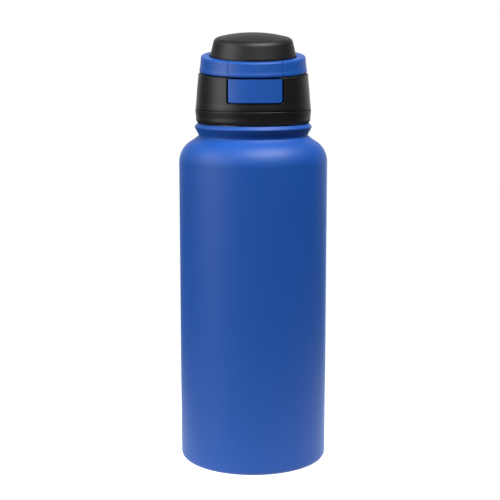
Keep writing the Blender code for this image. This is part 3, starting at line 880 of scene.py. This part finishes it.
@dataclass
class Assembly:
    """What every sub-assembly needs: the workshop's trees and the finishes."""

    shop: Workshop
    finishes: Finishes
    made: list[str] = field(default_factory=list)

    def place(
        self,
        obj: bpy.types.Object,
        name: str,
        body: Body,
        slot: Slot,
        nodes: Iterable[str],
        sharp: float = 40.0,
        finish: bpy.types.Material | None = None,
    ) -> bpy.types.Object:
        """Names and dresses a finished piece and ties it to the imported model.

        Args:
            obj: the piece, a plain mesh in its place in the frame.
            name: the piece's name.
            body: the moving body that carries it.
            slot: the material slot it takes its finish from.
            nodes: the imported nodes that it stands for.
            sharp: the angle in degrees past which an edge stays sharp.
            finish: a finish of its own, where it isn't the slot's.

        Returns:
            The piece.
        """
        obj.name = name
        obj.data.name = name
        obj.data.shade_smooth()
        obj.data.set_sharp_from_angle(angle=math.radians(sharp))
        self.finishes.dress(obj, slot, finish)
        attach(obj, body.value)
        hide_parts(*nodes)
        self.made.append(name)
        LOG.info("%s: %d faces on %s", name, len(obj.data.polygons), body.value)
        return obj


@dataclass
class Flask(Assembly):
    """The painted steel outer wall, the bare vessel inside it and the closed base."""

    radius: float = 46.5
    foot_fillet: float = 4.5
    foot_inside: float = 38.8
    shoulder_up: float = 191.0
    shoulder_fillet: float = 15.0
    pinch: Corner = Corner(34.05, 206.75, 0.7)
    bead: Corner = Corner(36.85, 213.0, 0.8)
    top: float = 215.0
    sheet: float = 0.5
    neck: float = 31.7
    mouth: float = 30.3
    rim: float = 225.0
    liner_radius: float = 42.7
    liner_base: float = 7.0
    lead: float = 4.0
    thread_turns: float = 1.25
    thread_low: float = 217.6

    def build(self) -> None:
        """Builds every piece of the flask."""
        self.outer_wall()
        self.vessel()
        self.base()

    def outer_wall(self) -> None:
        """The powder-coated wall, from its foot to the rolled bead under the lid."""
        centre = (self.radius - self.shoulder_fillet, self.shoulder_up)
        foot = (self.radius - self.foot_fillet, self.foot_fillet)
        outer = [
            Corner(self.neck + 0.3, self.top, 0.3),
            Corner(35.0, self.top, 0.5),
            self.bead,
            Corner(self.pinch.across + 0.25, self.pinch.up + 1.55, 3.0),
            self.pinch,
            Corner(self.pinch.across + 1.0, self.pinch.up + 0.2, 0.5),
            Corner(self.pinch.across + 2.1, self.pinch.up - 0.85, 0.6),
            *arc(centre, self.shoulder_fillet, 62, 0, 30),
            Corner(self.radius, 150.0),
            Corner(self.radius, 100.0),
            Corner(self.radius, 50.0),
            Corner(self.radius, 0.0, self.foot_fillet),
            Corner(self.foot_inside, 0.0, 0.4),
        ]
        inner = [
            Corner(self.foot_inside, self.sheet + 0.6),
            *arc(foot, self.foot_fillet - self.sheet, -80, 0, 6),
            *arc(centre, self.shoulder_fillet - self.sheet, 0, 64, 10),
            Corner(self.pinch.across - 0.6, self.pinch.up, 1.0),
            Corner(self.bead.across - 1.4, self.bead.up - 0.2),
            Corner(self.neck + 0.3, self.top - 0.9),
        ]
        wall = self.shop.turned("outer_wall", outer + inner)
        self.place(wall, "painted_wall", Body.BOTTLE, Slot.PAINT, ["outer_shell"])

    def vessel(self) -> None:
        """The bare steel vessel with its threaded neck."""
        inner_r = self.liner_radius - self.sheet
        centre = (self.radius - self.shoulder_fillet, self.shoulder_up - 1.0)
        shoulder = self.liner_radius - centre[0]
        shoulder_top = centre[1] + shoulder + 0.4
        corners = [
            Corner(self.mouth, self.rim, 0.5),
            Corner(self.neck, self.rim, 0.5),
            Corner(self.neck, shoulder_top, 0.8),
            *arc(centre, shoulder, 78, 0, 12),
            Corner(self.liner_radius, self.liner_base, 5.0),
            Corner(0.0, self.liner_base),
            Corner(0.0, self.liner_base + self.sheet),
            Corner(inner_r, self.liner_base + self.sheet, 4.5),
            *arc(centre, shoulder - self.sheet, 0, 78, 12),
            Corner(self.mouth, shoulder_top, 0.8),
        ]
        body = self.shop.turned("vessel", corners)
        section = [(0.8, 0.45), (1.2, 0.35), (1.2, -0.35), (0.8, -0.45), (-0.4, -0.95), (-0.4, 0.95)]
        ridge = self.shop.wound(
            "ridge", section, self.neck, self.thread_turns, self.lead * self.thread_turns, steps=96
        )
        ridge.data.transform(Matrix.Translation(mm(0.0, 0.0, self.thread_low)))
        whole = gather("vessel", body, ridge)
        self.place(whole, "steel_vessel", Body.BOTTLE, Slot.STEEL, ["inner_liner"])

    def base(self) -> None:
        """The pressed cup, the finishing disc over it, and the sealed parts between them."""
        rim = self.foot_inside - 0.3
        cup = [
            Corner(1.0, 5.0),
            Corner(6.0, 5.0, 0.5),
            Corner(7.5, 4.0, 0.5),
            Corner(rim, 4.0, 0.8),
            Corner(rim, 0.3, 0.25),
            Corner(rim - 0.8, 0.3, 0.25),
            Corner(rim - 0.8, 3.2, 0.4),
            Corner(7.8, 3.2, 0.4),
            Corner(6.3, 4.2, 0.4),
            Corner(1.0, 4.2),
        ]
        whole = self.shop.turned("cup", cup)
        self.place(whole, "pressed_base_cup", Body.BOTTLE, Slot.STEEL, ["base_cup"])
        edge = rim - 1.1
        disc = [
            Corner(0.0, 2.7),
            Corner(edge, 2.7, 0.15),
            Corner(edge, 1.9, 0.35),
            Corner(edge - 3.4, 1.9, 0.2),
            Corner(edge - 3.7, 2.15, 0.2),
            Corner(edge - 4.6, 2.15, 0.2),
            Corner(edge - 4.9, 1.9, 0.2),
            Corner(11.0, 1.9, 0.3),
            Corner(10.2, 2.3, 0.3),
            Corner(0.0, 2.3),
        ]
        whole = self.shop.turned("disc", disc, solid=True)
        self.place(whole, "finishing_disc", Body.BOTTLE, Slot.STEEL, ["base_disc"])
        bead = [Corner(0.0, 3.9), Corner(2.2, 3.9, 0.4), Corner(2.6, 3.3, 0.4), Corner(0.0, 2.98)]
        whole = self.shop.turned("bead", bead, Facets.SMALL, solid=True)
        self.place(whole, "glass_seal_bead", Body.BOTTLE, Slot.SOLDER, ["seal_bead"])
        pan = [Corner(0.0, 5.9), Corner(7.0, 5.9, 0.5), Corner(7.0, 4.3, 0.3), Corner(0.0, 4.3)]
        whole = self.shop.turned("pan", pan, Facets.SMALL, centre=(20.0, 0.0), solid=True)
        self.place(whole, "getter_pan", Body.BOTTLE, Slot.STEEL, ["getter_cup"])


@dataclass
class Lid(Assembly):
    """The fixed parts of the lid: threaded base, housing, spout, seals, pins and springs."""

    skirt: float = 215.3
    band: float = 35.8
    band_top: float = 223.75
    bore: float = 33.4
    floor: float = 227.2
    floor_top: float = 228.8
    housing: float = 36.2
    housing_low: float = 224.15
    housing_top: float = 246.2
    plateau: float = 22.6
    plateau_top: float = 250.5
    deck: float = 1.9
    deck_lean: float = 0.073
    top_lean: float = COVER_LEAN
    lean_from: float = 232.0
    window: float = 17.1
    window_low: float = 228.3
    window_fillet: float = 1.6
    hinge: float = HINGE_Y
    cover_pin_up: float = COVER_PIN_UP
    loop_pin_up: float = LOOP_PIN_UP
    lug_in: float = 9.8
    lug_out: float = 12.8
    lug: float = 3.2
    spout_y: float = SPOUT_Y
    spout_r: float = 8.8
    spout_bore: float = 7.3
    spout_top: float = 263.2
    stem_y: float = STEM_Y

    def build(self) -> None:
        """Builds every piece that stays still in the lid."""
        self.threaded_base()
        self.housing_shell()
        self.spout()
        self.seals()
        self.pins()
        self.springs()

    def deck_slope(self, z: float) -> float:
        """The housing's lean at a height: none at its foot, the deck's at its top."""
        share = (z - self.lean_from) / (self.housing_top - self.lean_from)
        return self.deck_lean * min(1.0, max(0.0, share))

    def spout_slope(self, z: float) -> float:
        """Only the spout's lip leans, to meet the pad in the cover squarely."""
        return self.top_lean * min(1.0, max(0.0, (z - 252.0) / 6.0))

    def threaded_base(self) -> None:
        """The lower ring: a band with a rounded lip, the female thread and the lid's floor."""
        corners = [
            Corner(0.0, self.floor_top),
            Corner(34.3, self.floor_top, 0.3),
            Corner(34.3, self.band_top - 0.35, 0.1),
            Corner(self.band + 0.5, self.band_top, 0.4),
            Corner(self.band + 0.3, self.band_top - 1.8, 2.0),
            Corner(self.band, self.band_top - 4.2, 4.0),
            Corner(self.band, self.skirt + 1.9, 1.5),
            Corner(self.band - 1.1, self.skirt, 0.35),
            Corner(self.bore + 0.2, self.skirt, 0.3),
            Corner(self.bore, self.skirt + 0.5, 0.3),
            Corner(self.bore, 224.6, 0.3),
            Corner(32.4, 225.2, 0.3),
            Corner(32.4, self.floor, 0.2),
            Corner(0.0, self.floor),
        ]
        body = self.shop.turned("threaded_base", corners, solid=True)
        flow = rod("flow", self.spout_bore, (0.0, self.spout_y, 220.0), (0.0, self.spout_y, 232.0), 64)
        vent = rod("vent", 1.0, (0.0, VENT_Y, 220.0), (0.0, VENT_Y, 232.0), 24)
        guide = rod("guide", 2.4, (0.0, self.stem_y, 220.0), (0.0, self.stem_y, 232.0), 32)
        boss = rod("boss", 4.4, (0.0, self.stem_y, self.floor + 0.4), (0.0, self.stem_y, 230.4), 48)
        rib = block("rib", (-8.2, -19.8, self.floor + 0.4), (8.2, -18.5, 239.0))
        body = cut(join(body, boss, rib), flow, vent, guide)
        section = [(0.5, 0.9), (-0.9, 0.5), (-1.25, 0.35), (-1.25, -0.35), (-0.9, -0.5), (0.5, -0.9)]
        ridge = self.shop.wound("ridge", section, self.bore, 0.85, 3.4, steps=96)
        turn = Matrix.Rotation(math.radians(144.0), 4, "Z")
        ridge.data.transform(Matrix.Translation(mm(0.0, 0.0, 217.2)) @ turn)
        whole = gather("threaded_base", body, ridge)
        self.place(whole, "lid_base_ring", Body.LID, Slot.BLACK, ["threaded_base"])

    def wall_outline(self) -> list[Corner]:
        """The housing's outline before its deck leans and its window is cut."""
        r, top = self.housing, self.housing_top
        return [
            Corner(0.0, self.plateau_top),
            Corner(self.plateau, self.plateau_top, 0.8),
            Corner(self.plateau, top, 0.4),
            Corner(r - 2.05, top, 1.3),
            Corner(r - 2.0, top - 2.1, 3.0),
            Corner(r - 1.2, 236.0, 12.0),
            Corner(r - 0.6, 228.0, 4.0),
            Corner(r - 0.3, 226.0, 2.5),
            Corner(r - 0.22, self.housing_low, 0.25),
            Corner(34.6, self.housing_low, 0.1),
            Corner(34.6, 229.2),
            Corner(33.2, 229.2, 0.3),
            Corner(32.4, top - 3.0, 0.6),
            Corner(31.4, top - self.deck, 0.4),
            Corner(self.plateau - 1.8, top - self.deck, 0.3),
            Corner(self.plateau - 1.8, self.plateau_top - self.deck, 0.3),
            Corner(0.0, self.plateau_top - self.deck),
        ]

    def window_outline(self) -> list[Point2]:
        """The window's outline, seen from the front, open at the top."""
        corners = [
            Corner(-self.window, self.window_low, self.window_fillet),
            Corner(self.window, self.window_low, self.window_fillet),
            Corner(self.window, 256.0),
            Corner(-self.window, 256.0),
        ]
        return rounded(corners)

    def housing_shell(self) -> None:
        """The upper shell with its leaning deck, its button window and its hinge lugs."""
        body = lean(self.shop.turned("housing", self.wall_outline(), solid=True), self.deck_slope)
        window = prism("window", self.window_outline(), from_front, (-45.0, -30.0))
        low = [Corner(-self.window, self.window_low, self.window_fillet)]
        low.append(Corner(self.window, self.window_low, self.window_fillet))
        pocket_outline = rounded([*low, Corner(self.window, 243.45), Corner(-self.window, 243.45)])
        pocket = prism("pocket", pocket_outline, from_front, (-45.0, -23.2))
        hole = rod("hole", self.spout_r + 0.3, (0.0, self.spout_y, 240.0), (0.0, self.spout_y, 256.0), 96)
        body = cut(body, window, pocket, hole)
        body = join(body, *self.lugs())
        for z in (self.cover_pin_up, self.loop_pin_up):
            body = cut(body, hinge_bore(20.0, z))
        body = soften(body, 0.42, steps=4)
        self.place(body, "lid_housing_shell", Body.LID, Slot.BLACK, ["lid_housing"])

    def lugs(self) -> list[bpy.types.Object]:
        """The two hinge lugs and the bridge that stiffens them."""
        made = []
        top, half = self.cover_pin_up, self.lug
        for side in (-1.0, 1.0):
            ends = sorted((side * self.lug_in, side * self.lug_out))
            outline = [
                Corner(self.hinge - half, self.housing_top),
                Corner(self.hinge + half, self.housing_top),
                Corner(self.hinge + half, top + half, half - 0.02),
                Corner(self.hinge - half, top + half, half - 0.02),
            ]
            made.append(prism("lug", rounded(outline), from_side, tuple(ends)))
        low = (-self.lug_in - 0.5, self.hinge - 0.6, self.housing_top + 0.8)
        high = (self.lug_in + 0.5, self.hinge + half - 0.4, self.loop_pin_up + 0.8)
        made.append(block("bridge", low, high))
        return made

    def spout(self) -> None:
        """The drinking spout, with its rolled lip and the flange at its foot."""
        r, bore, top = self.spout_r, self.spout_bore, self.spout_top
        corners = [
            Corner(bore + 0.1, top, 0.8),
            Corner(r + 0.55, top, 0.9),
            Corner(r + 0.35, top - 2.0, 0.8),
            Corner(r, top - 3.0, 0.8),
            Corner(r, 231.6, 0.5),
            Corner(10.2, 231.6, 0.3),
            Corner(10.2, 230.2, 0.2),
            Corner(bore, 230.2, 0.2),
        ]
        tube = self.shop.turned("spout", corners, Facets.MEDIUM, centre=(0.0, self.spout_y))
        self.place(lean(tube, self.spout_slope), "drinking_spout", Body.LID, Slot.GREY, ["spout"])

    def washer(
        self, name: str, y: float, bore: float, outer: float, low: float, high: float
    ) -> bpy.types.Object:
        """A silicone ring of rounded section about a vertical axis on the centre plane."""
        fillet = 0.35 * (high - low)
        corners = [
            Corner(bore, high, fillet),
            Corner(outer, high, fillet),
            Corner(outer, low, fillet),
            Corner(bore, low, fillet),
        ]
        return self.shop.turned(name, corners, Facets.MEDIUM, centre=(0.0, y))

    def seals(self) -> None:
        """The ring on the bottle's rim, the ring under the spout and the wiper round the stem."""
        ring = [
            Corner(29.9, self.floor - 0.3, 0.4),
            Corner(32.0, self.floor - 0.3, 0.4),
            Corner(32.0, 226.4, 0.1),
            Corner(31.5, 226.1, 0.1),
            Corner(32.0, 225.8, 0.1),
            Corner(32.0, 225.3, 0.2),
            Corner(29.9, 225.3, 0.2),
            Corner(29.9, 225.8, 0.1),
            Corner(30.4, 226.1, 0.1),
            Corner(29.9, 226.4, 0.1),
        ]
        whole = self.shop.turned("mouth_ring", ring)
        self.place(whole, "mouth_seal_ring", Body.SEAL, Slot.SILICONE, ["mouth_seal"])
        ring = self.washer("foot_ring", self.spout_y, 8.0, 9.9, 229.1, 229.9)
        self.place(ring, "spout_seal_ring", Body.LID, Slot.SILICONE, ["spout_seal"])
        ring = self.washer("wiper", self.stem_y, 2.3, 3.7, 227.4, 228.3)
        self.place(ring, "stem_wiper_ring", Body.LID, Slot.SILICONE, ["stem_wiper"])

    def pins(self) -> None:
        """The steel hinge pins: one through the cover's knuckle and a short one for each loop end."""
        long_pin = pin_mesh("long", 2 * self.lug_out - 0.6)
        long_pin.data.transform(Matrix.Translation(mm(0.0, self.hinge, self.cover_pin_up)))
        short = pin_mesh("short", 6.8)
        row = self.shop.pins.grow(
            short,
            Count=2,
            Start=mm(-13.2, self.hinge, self.loop_pin_up),
            Step=mm(26.4, 0.0, 0.0),
        )
        whole = gather("pins", long_pin, row)
        nodes = ["cover_pin", "loop_pin_left", "loop_pin_right"]
        self.place(whole, "hinge_pins", Body.LID, Slot.STEEL, nodes)

    def springs(self) -> None:
        """The valve's spring round its stem and the button's two springs."""
        free = 9.0
        foot = mm(0.0, self.stem_y, 230.7)
        coil = self.coil("valve_coil", 3.1, 0.7, 5.0, free)
        coil.data.transform(Matrix.Translation(foot))
        self.place(coil, "valve_spring_coil", Body.LID, Slot.STEEL, ["valve_spring"])
        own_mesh(coil)
        free, front = 6.8, -26.9
        for side, label in ((-1.0, "left"), (1.0, "right")):
            coil = self.coil("button_coil", 2.0, 0.5, 4.0, free)
            turn = Matrix.Rotation(math.radians(-90.0), 4, "X")
            coil.data.transform(Matrix.Translation(mm(side * 5.5, front, 236.0)) @ turn)
            name = f"button_spring_{label}"
            self.place(coil, f"{name}_coil", Body.LID, Slot.STEEL, [name])
            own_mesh(coil)

    def coil(self, name: str, radius: float, wire: float, turns: float, length: float) -> bpy.types.Object:
        """A compression spring that stands on height 0, wire ends included in its length."""
        section = []
        for i in range(10):
            angle = math.tau * i / 10
            section.append((wire / 2 * math.cos(angle), wire / 2 * math.sin(angle)))
        coil = self.shop.wound(name, section, radius, turns, length - wire, steps=30)
        coil.data.transform(Matrix.Translation(mm(0.0, 0.0, wire / 2)))
        return coil


def from_front(across: float, up: float, depth: float) -> Point3:
    """Places an outline drawn facing the front."""
    return (across, depth, up)


def from_side(across: float, up: float, depth: float) -> Point3:
    """Places an outline drawn facing the side."""
    return (depth, across, up)


def pin_mesh(name: str, length: float, radius: float = 1.0) -> bpy.types.Object:
    """A pin along X about the origin, with rounded ends."""
    pin = rod(name, radius, (-length / 2, 0.0, 0.0), (length / 2, 0.0, 0.0), 32)
    return soften(pin, 0.25, angle=60.0)


def hinge_bore(half: float, up: float) -> bpy.types.Object:
    """The cylinder that a hinge pin's bore is cut with, across the hinge line at a height."""
    return rod("bore", PIN_BORE, (-half, HINGE_Y, up), (half, HINGE_Y, up), 32)


@dataclass
class Cover(Assembly):
    """The domed cover over the spout, with the pad that closes the spout."""

    crown: float = 270.6
    crown_arc: float = 91.6
    edge: float = 3.8
    roof: float = 267.4
    rim: float = 25.2
    rim_up: float = 249.6
    wide: float = 26.4
    wide_up: float = 257.2
    wall: float = 1.9
    tilt: float = COVER_LEAN
    hinge: float = HINGE_Y
    pin_up: float = COVER_PIN_UP
    half: float = 9.4

    def build(self) -> None:
        """Builds the dome and its pad."""
        self.dome()
        self.pad()

    def dome(self) -> None:
        """A slightly crowned top, a rounded edge and a flared side, with the hinge knuckle."""
        crown, centre = self.crown, self.crown - self.crown_arc
        edge_up = centre + math.sqrt(self.crown_arc**2 - 24.2**2)
        corners = [
            *arc((0.0, centre), self.crown_arc, 90, 79, 12),
            Corner(24.25, edge_up, self.edge),
            Corner(self.wide + 0.2, self.wide_up, 3.0),
            Corner(self.rim, self.rim_up, 0.4),
            Corner(self.rim - self.wall, self.rim_up, 0.4),
            Corner(self.wide - 0.1 - self.wall, self.wide_up, 2.0),
            Corner(25.1 - self.wall, self.roof - 3.8, 2.0),
            Corner(21.6, self.roof - 0.6, 1.8),
            Corner(0.0, self.roof),
        ]
        body = lean(self.shop.turned("dome", corners, solid=True), lambda z: self.tilt)
        knuckle = rod(
            "knuckle", 2.6, (-self.half, self.hinge, self.pin_up), (self.half, self.hinge, self.pin_up), 64
        )
        low = (-self.half, 24.2, self.pin_up - 2.2)
        high = (self.half, self.hinge - 0.4, self.pin_up + 2.4)
        body = join(body, block("web", low, high), knuckle)
        body = cut(body, hinge_bore(14.0, self.pin_up))
        body = soften(body, 0.3)
        matt = self.finishes.matt_black
        self.place(
            body, "spout_cover_dome", Body.COVER, Slot.BLACK, ["spout_cover"], finish=matt
        )

    def pad(self) -> None:
        """The silicone pad, with a raised ring where it meets the spout's lip."""
        low, top = 263.6, 266.2
        corners = [
            Corner(0.0, top),
            Corner(10.9, top, 0.4),
            Corner(11.4, top - 0.8, 0.3),
            Corner(11.4, low + 0.35, 0.3),
            Corner(9.6, low, 0.3),
            Corner(6.9, low, 0.3),
            Corner(6.2, low + 0.5, 0.3),
            Corner(0.0, low + 0.5),
        ]
        pad = self.shop.turned("pad", corners, Facets.MEDIUM, centre=(0.0, SPOUT_Y), solid=True)
        pad = lean(pad, lambda z: self.tilt)
        self.place(pad, "cover_seal_pad", Body.COVER, Slot.SILICONE, ["cover_seal"])


@dataclass
class Loop(Assembly):
    """The carrying loop round the cover and its snap-in front."""

    low: float = 246.9
    top: float = 256.8
    r: float = 32.4
    flare: float = 33.4
    bore: float = 27.0
    bore_low: float = 27.9
    foot_lean: float = 0.086
    top_lean: float = 0.1225
    end: float = 13.2
    knuckle_out: float = 16.6
    knuckle: float = 2.8
    insert: float = 16.35
    insert_r: float = 30.2
    hinge: float = HINGE_Y
    pin_up: float = LOOP_PIN_UP

    def build(self) -> None:
        """Builds the band and its front."""
        self.band()
        self.front()

    def slope(self, z: float) -> float:
        """The loop is a wedge: its underside leans a little, and its top leans more."""
        share = (z - self.low) / (self.top - self.low)
        return self.foot_lean + (self.top_lean - self.foot_lean) * min(1.0, max(0.0, share))

    def ring(self, name: str) -> bpy.types.Object:
        """The loop's full ring before anything is cut from it."""
        corners = [
            Corner(self.bore, self.top, 0.7),
            Corner(self.r, self.top, 1.1),
            Corner(self.r + 0.6, self.top - 6.6, 6.0),
            Corner(self.flare, self.low + 1.6, 1.4),
            Corner(self.flare - 0.05, self.low, 0.6),
            Corner(self.bore_low, self.low, 0.5),
            Corner(self.bore, self.top - 4.0, 3.0),
        ]
        return lean(self.shop.turned(name, corners, Facets.BAND), self.slope)

    def sector(self, name: str, half: float, inside: float) -> bpy.types.Object:
        """A block across the front, outside a radius."""
        piece = block(name, (-half, -45.0, 235.0), (half, -20.0, 265.0))
        return cut(piece, rod("core", inside, (0.0, 0.0, 230.0), (0.0, 0.0, 270.0), 190))

    def band(self) -> None:
        """The band, open at the back, with a hinge knuckle on each end."""
        band = self.ring("band")
        left = (-self.knuckle_out, self.hinge, self.pin_up)
        right = (self.knuckle_out, self.hinge, self.pin_up)
        band = join(band, rod("knuckles", self.knuckle, left, right, 64))
        gap = block("gap", (-self.end, 15.0, 235.0), (self.end, 45.0, 270.0))
        pocket = self.sector("pocket", self.insert + 0.04, self.insert_r - 0.1)
        bore = hinge_bore(20.0, self.pin_up)
        band = soften(cut(band, gap, pocket, bore), 0.22)
        self.place(band, "carry_loop_band", Body.LOOP, Slot.BLUE, ["carry_loop"])

    def front(self) -> None:
        """The snap-in front, flush with the band above the button."""
        piece = keep(self.ring("front"), self.sector("sector", self.insert - 0.04, self.insert_r))
        piece = soften(piece, 0.22)
        self.place(piece, "carry_loop_front", Body.LOOP, Slot.BLUE, ["loop_front_insert"])


@dataclass
class PushButton(Assembly):
    """The thumb button and the cam fork behind it."""

    half: float = 16.3
    low: float = 229.15
    top: float = 243.2
    r_low: float = 35.6
    r_top: float = 34.5
    wall: float = 2.4
    corner: float = 1.1

    def build(self) -> None:
        """Builds the button's face with its boss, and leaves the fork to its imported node."""
        corners = [
            Corner(self.r_top, self.top + 3.0),
            Corner(self.r_top, self.top - 0.4, 6.0),
            Corner(self.r_low, self.low + 0.4, 6.0),
            Corner(self.r_low, self.low - 3.0),
            Corner(self.r_low - self.wall, self.low - 3.0),
            Corner(self.r_top - self.wall, self.top + 3.0),
        ]
        outline = [
            Corner(-self.half, self.low, self.corner),
            Corner(self.half, self.low, self.corner),
            Corner(self.half, self.top, 0.3),
            Corner(-self.half, self.top, 0.3),
        ]
        front = prism("front", rounded(outline), from_front, (-45.0, -10.0))
        face = keep(self.shop.turned("face", corners), front)
        boss = block("boss", (-6.0, -33.4, 234.0), (6.0, -29.5, 240.0))
        face = soften(join(face, boss), 0.4, steps=4)
        self.place(face, "thumb_button", Body.BUTTON, Slot.BLUE, ["button"])


@dataclass
class Valve(Assembly):
    """The valve under the lid's floor: its stoppers and the crossbar that the fork pushes."""

    arm_top: float = 224.0
    plug_top: float = 226.9

    def build(self) -> None:
        """Builds the stoppers and the crossbar."""
        self.stopper("spout_stopper", "valve_plug", SPOUT_Y, 9.3)
        self.stopper("vent_stopper", "vent_plug", VENT_Y, 1.8)
        bar = pin_mesh("crossbar", 26.4)
        bar.data.transform(Matrix.Translation(mm(0.0, STEM_Y, 243.0)))
        self.place(bar, "crossbar_pin", Body.VALVE, Slot.STEEL, ["crossbar"])

    def stopper(self, name: str, node: str, y: float, radius: float) -> None:
        """A silicone stopper with a rounded upper lip."""
        low = self.arm_top + 0.3
        corners = [
            Corner(0.0, self.plug_top),
            Corner(radius, self.plug_top, 0.7),
            Corner(radius - 0.4, low, 0.3),
            Corner(0.0, low),
        ]
        whole = self.shop.turned(name, corners, Facets.MEDIUM, centre=(0.0, y), solid=True)
        self.place(whole, name, Body.VALVE, Slot.SILICONE, [node])


# ------------------------------------------------------------------ studio


@dataclass(frozen=True)
class SoftLight:
    """A rectangular soft light that faces the bottle."""

    name: str
    place: Point3
    target: Point3
    size: Point2
    power: float

    def build(self) -> None:
        """Adds the light."""
        light = bpy.data.lights.new(self.name, "AREA")
        light.shape = "RECTANGLE"
        light.size, light.size_y = self.size
        light.energy = self.power
        lamp = add_object(self.name, light)
        aim = Vector(self.target) - Vector(self.place)
        turn = aim.to_track_quat("-Z", "Y").to_matrix().to_4x4()
        lamp.matrix_world = Matrix.Translation(self.place) @ turn


@dataclass
class Studio:
    """A pale floor, soft light and the camera."""

    distance: float = 0.8015
    height: float = 0.2685
    turn: float = 2.2
    pitch: float = 9.494
    focal: float = 91.92
    shift: float = -0.0064

    GLOW_CENTRE = (0.03, 0.01, 0.0)
    FLOOR_GLOW = {"From Min": 0.06, "From Max": 0.36, "To Min": 1.75, "To Max": 0.05}
    BACK_WALL = {"From Min": 0.62, "From Max": 1.0, "To Min": 0.02, "To Max": 1.2}
    LIGHTS = (
        SoftLight("overhead", (0.28, -0.42, 1.1), (0.0, 0.0, 0.2), (0.8, 0.4), 27.0),
        SoftLight("left", (-1.0, -0.45, 0.46), (0.0, 0.0, 0.19), (0.9, 0.8), 11.5),
        SoftLight("left_high", (-0.92, -0.16, 0.95), (0.0, 0.0, 0.2), (0.6, 0.5), 7.0),
        SoftLight("right", (0.8, 0.72, 0.2), (0.0, 0.0, 0.1), (0.8, 0.5), 0.7),
    )

    def build(self) -> None:
        """Builds the whole studio."""
        self.floor()
        self.world()
        for light in self.LIGHTS:
            light.build()
        self.camera()

    def floor(self) -> None:
        """A white floor that glows around the bottle and lights it softly from below."""
        shape = bmesh.new()
        bmesh.ops.create_grid(shape, x_segments=1, y_segments=1, size=1.6)
        floor = object_from("floor", shape)
        white = bpy.data.materials.new("floor_white")
        white.use_nodes = True
        tree = white.node_tree
        shader = tree.nodes["Principled BSDF"]
        place = add_node(tree, "ShaderNodeTexCoord").outputs["Object"]
        feeds = {0: place, 1: self.GLOW_CENTRE}
        shifted = add_node(tree, "ShaderNodeVectorMath", feeds, operation="SUBTRACT")
        feeds = {0: shifted.outputs[0]}
        away = add_node(tree, "ShaderNodeVectorMath", feeds, operation="LENGTH")
        feeds = {"Value": away.outputs["Value"], **self.FLOOR_GLOW}
        glow = add_node(tree, "ShaderNodeMapRange", feeds, interpolation_type="SMOOTHSTEP")
        path = add_node(tree, "ShaderNodeLightPath")
        feeds = {0: path.outputs["Is Camera Ray"], 1: glow.outputs[0]}
        shown = add_node(tree, "ShaderNodeMath", feeds, operation="MAXIMUM")
        tree.links.new(shown.outputs[0], shader.inputs["Emission Strength"])
        shader.inputs["Base Color"].default_value = (0.02, 0.02, 0.02, 1.0)
        shader.inputs["Specular IOR Level"].default_value = 0.0
        shader.inputs["Roughness"].default_value = 0.9
        shader.inputs["Emission Color"].default_value = (1.0, 1.0, 1.0, 1.0)
        floor.data.materials.append(white)

    def world(self) -> None:
        """White to the eye; for light, a pale wall behind the bottle and a dim room in front."""
        world = bpy.data.worlds.new("studio")
        bpy.context.scene.world = world
        world.use_nodes = True
        tree = world.node_tree
        tree.nodes.clear()
        place = add_node(tree, "ShaderNodeTexCoord").outputs["Generated"]
        axes = add_node(tree, "ShaderNodeSeparateXYZ", {0: place})
        feeds = {"Value": axes.outputs["Y"], **self.BACK_WALL}
        back = add_node(tree, "ShaderNodeMapRange", feeds, interpolation_type="SMOOTHSTEP")
        lit = add_node(tree, "ShaderNodeBackground", {"Strength": back.outputs[0]})
        lit.inputs["Color"].default_value = (1.0, 1.0, 1.0, 1.0)
        seen = add_node(tree, "ShaderNodeBackground", {"Strength": 1.0})
        seen.inputs["Color"].default_value = (1.0, 1.0, 1.0, 1.0)
        path = add_node(tree, "ShaderNodeLightPath")
        feeds = {0: path.outputs["Is Camera Ray"], 1: lit.outputs[0], 2: seen.outputs[0]}
        mixed = add_node(tree, "ShaderNodeMixShader", feeds)
        add_node(tree, "ShaderNodeOutputWorld", {"Surface": mixed.outputs[0]})
        bpy.context.scene.view_settings.view_transform = "Standard"

    def camera(self) -> None:
        """A long lens a little above the lid, looking slightly down at the whole bottle."""
        lens = bpy.data.cameras.new("camera")
        lens.lens = self.focal
        lens.sensor_width = 36.0
        lens.shift_x = self.shift
        camera = add_object("camera", lens)
        turn = math.radians(self.turn)
        camera.location = (-self.distance * math.sin(turn), -self.distance * math.cos(turn), self.height)
        camera.rotation_euler = (math.radians(90.0 - self.pitch), 0.0, -turn)
        bpy.context.scene.camera = camera


# ------------------------------------------------------------------ the whole bottle


def dress_packed_nodes(finishes: Finishes, nodes: dict[str, Slot]) -> None:
    """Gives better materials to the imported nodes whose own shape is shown."""
    for name, slot in nodes.items():
        finishes.dress(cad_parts[name], slot)
        LOG.info("%s: packed shape, new finish", name)


def main() -> None:
    """Builds the bottle, its finishes and the studio."""
    logging.basicConfig(level=logging.INFO, format="%(name)s: %(message)s")
    shop, finishes = Workshop(), Finishes(make_effects())
    for assembly in (Flask, Lid, Cover, Loop, PushButton, Valve):
        assembly(shop, finishes).build()
    dress_packed_nodes(finishes, {"cam_fork": Slot.GREY, "valve_arm": Slot.GREY})
    Studio().build()


if __name__ == "__main__":
    main()
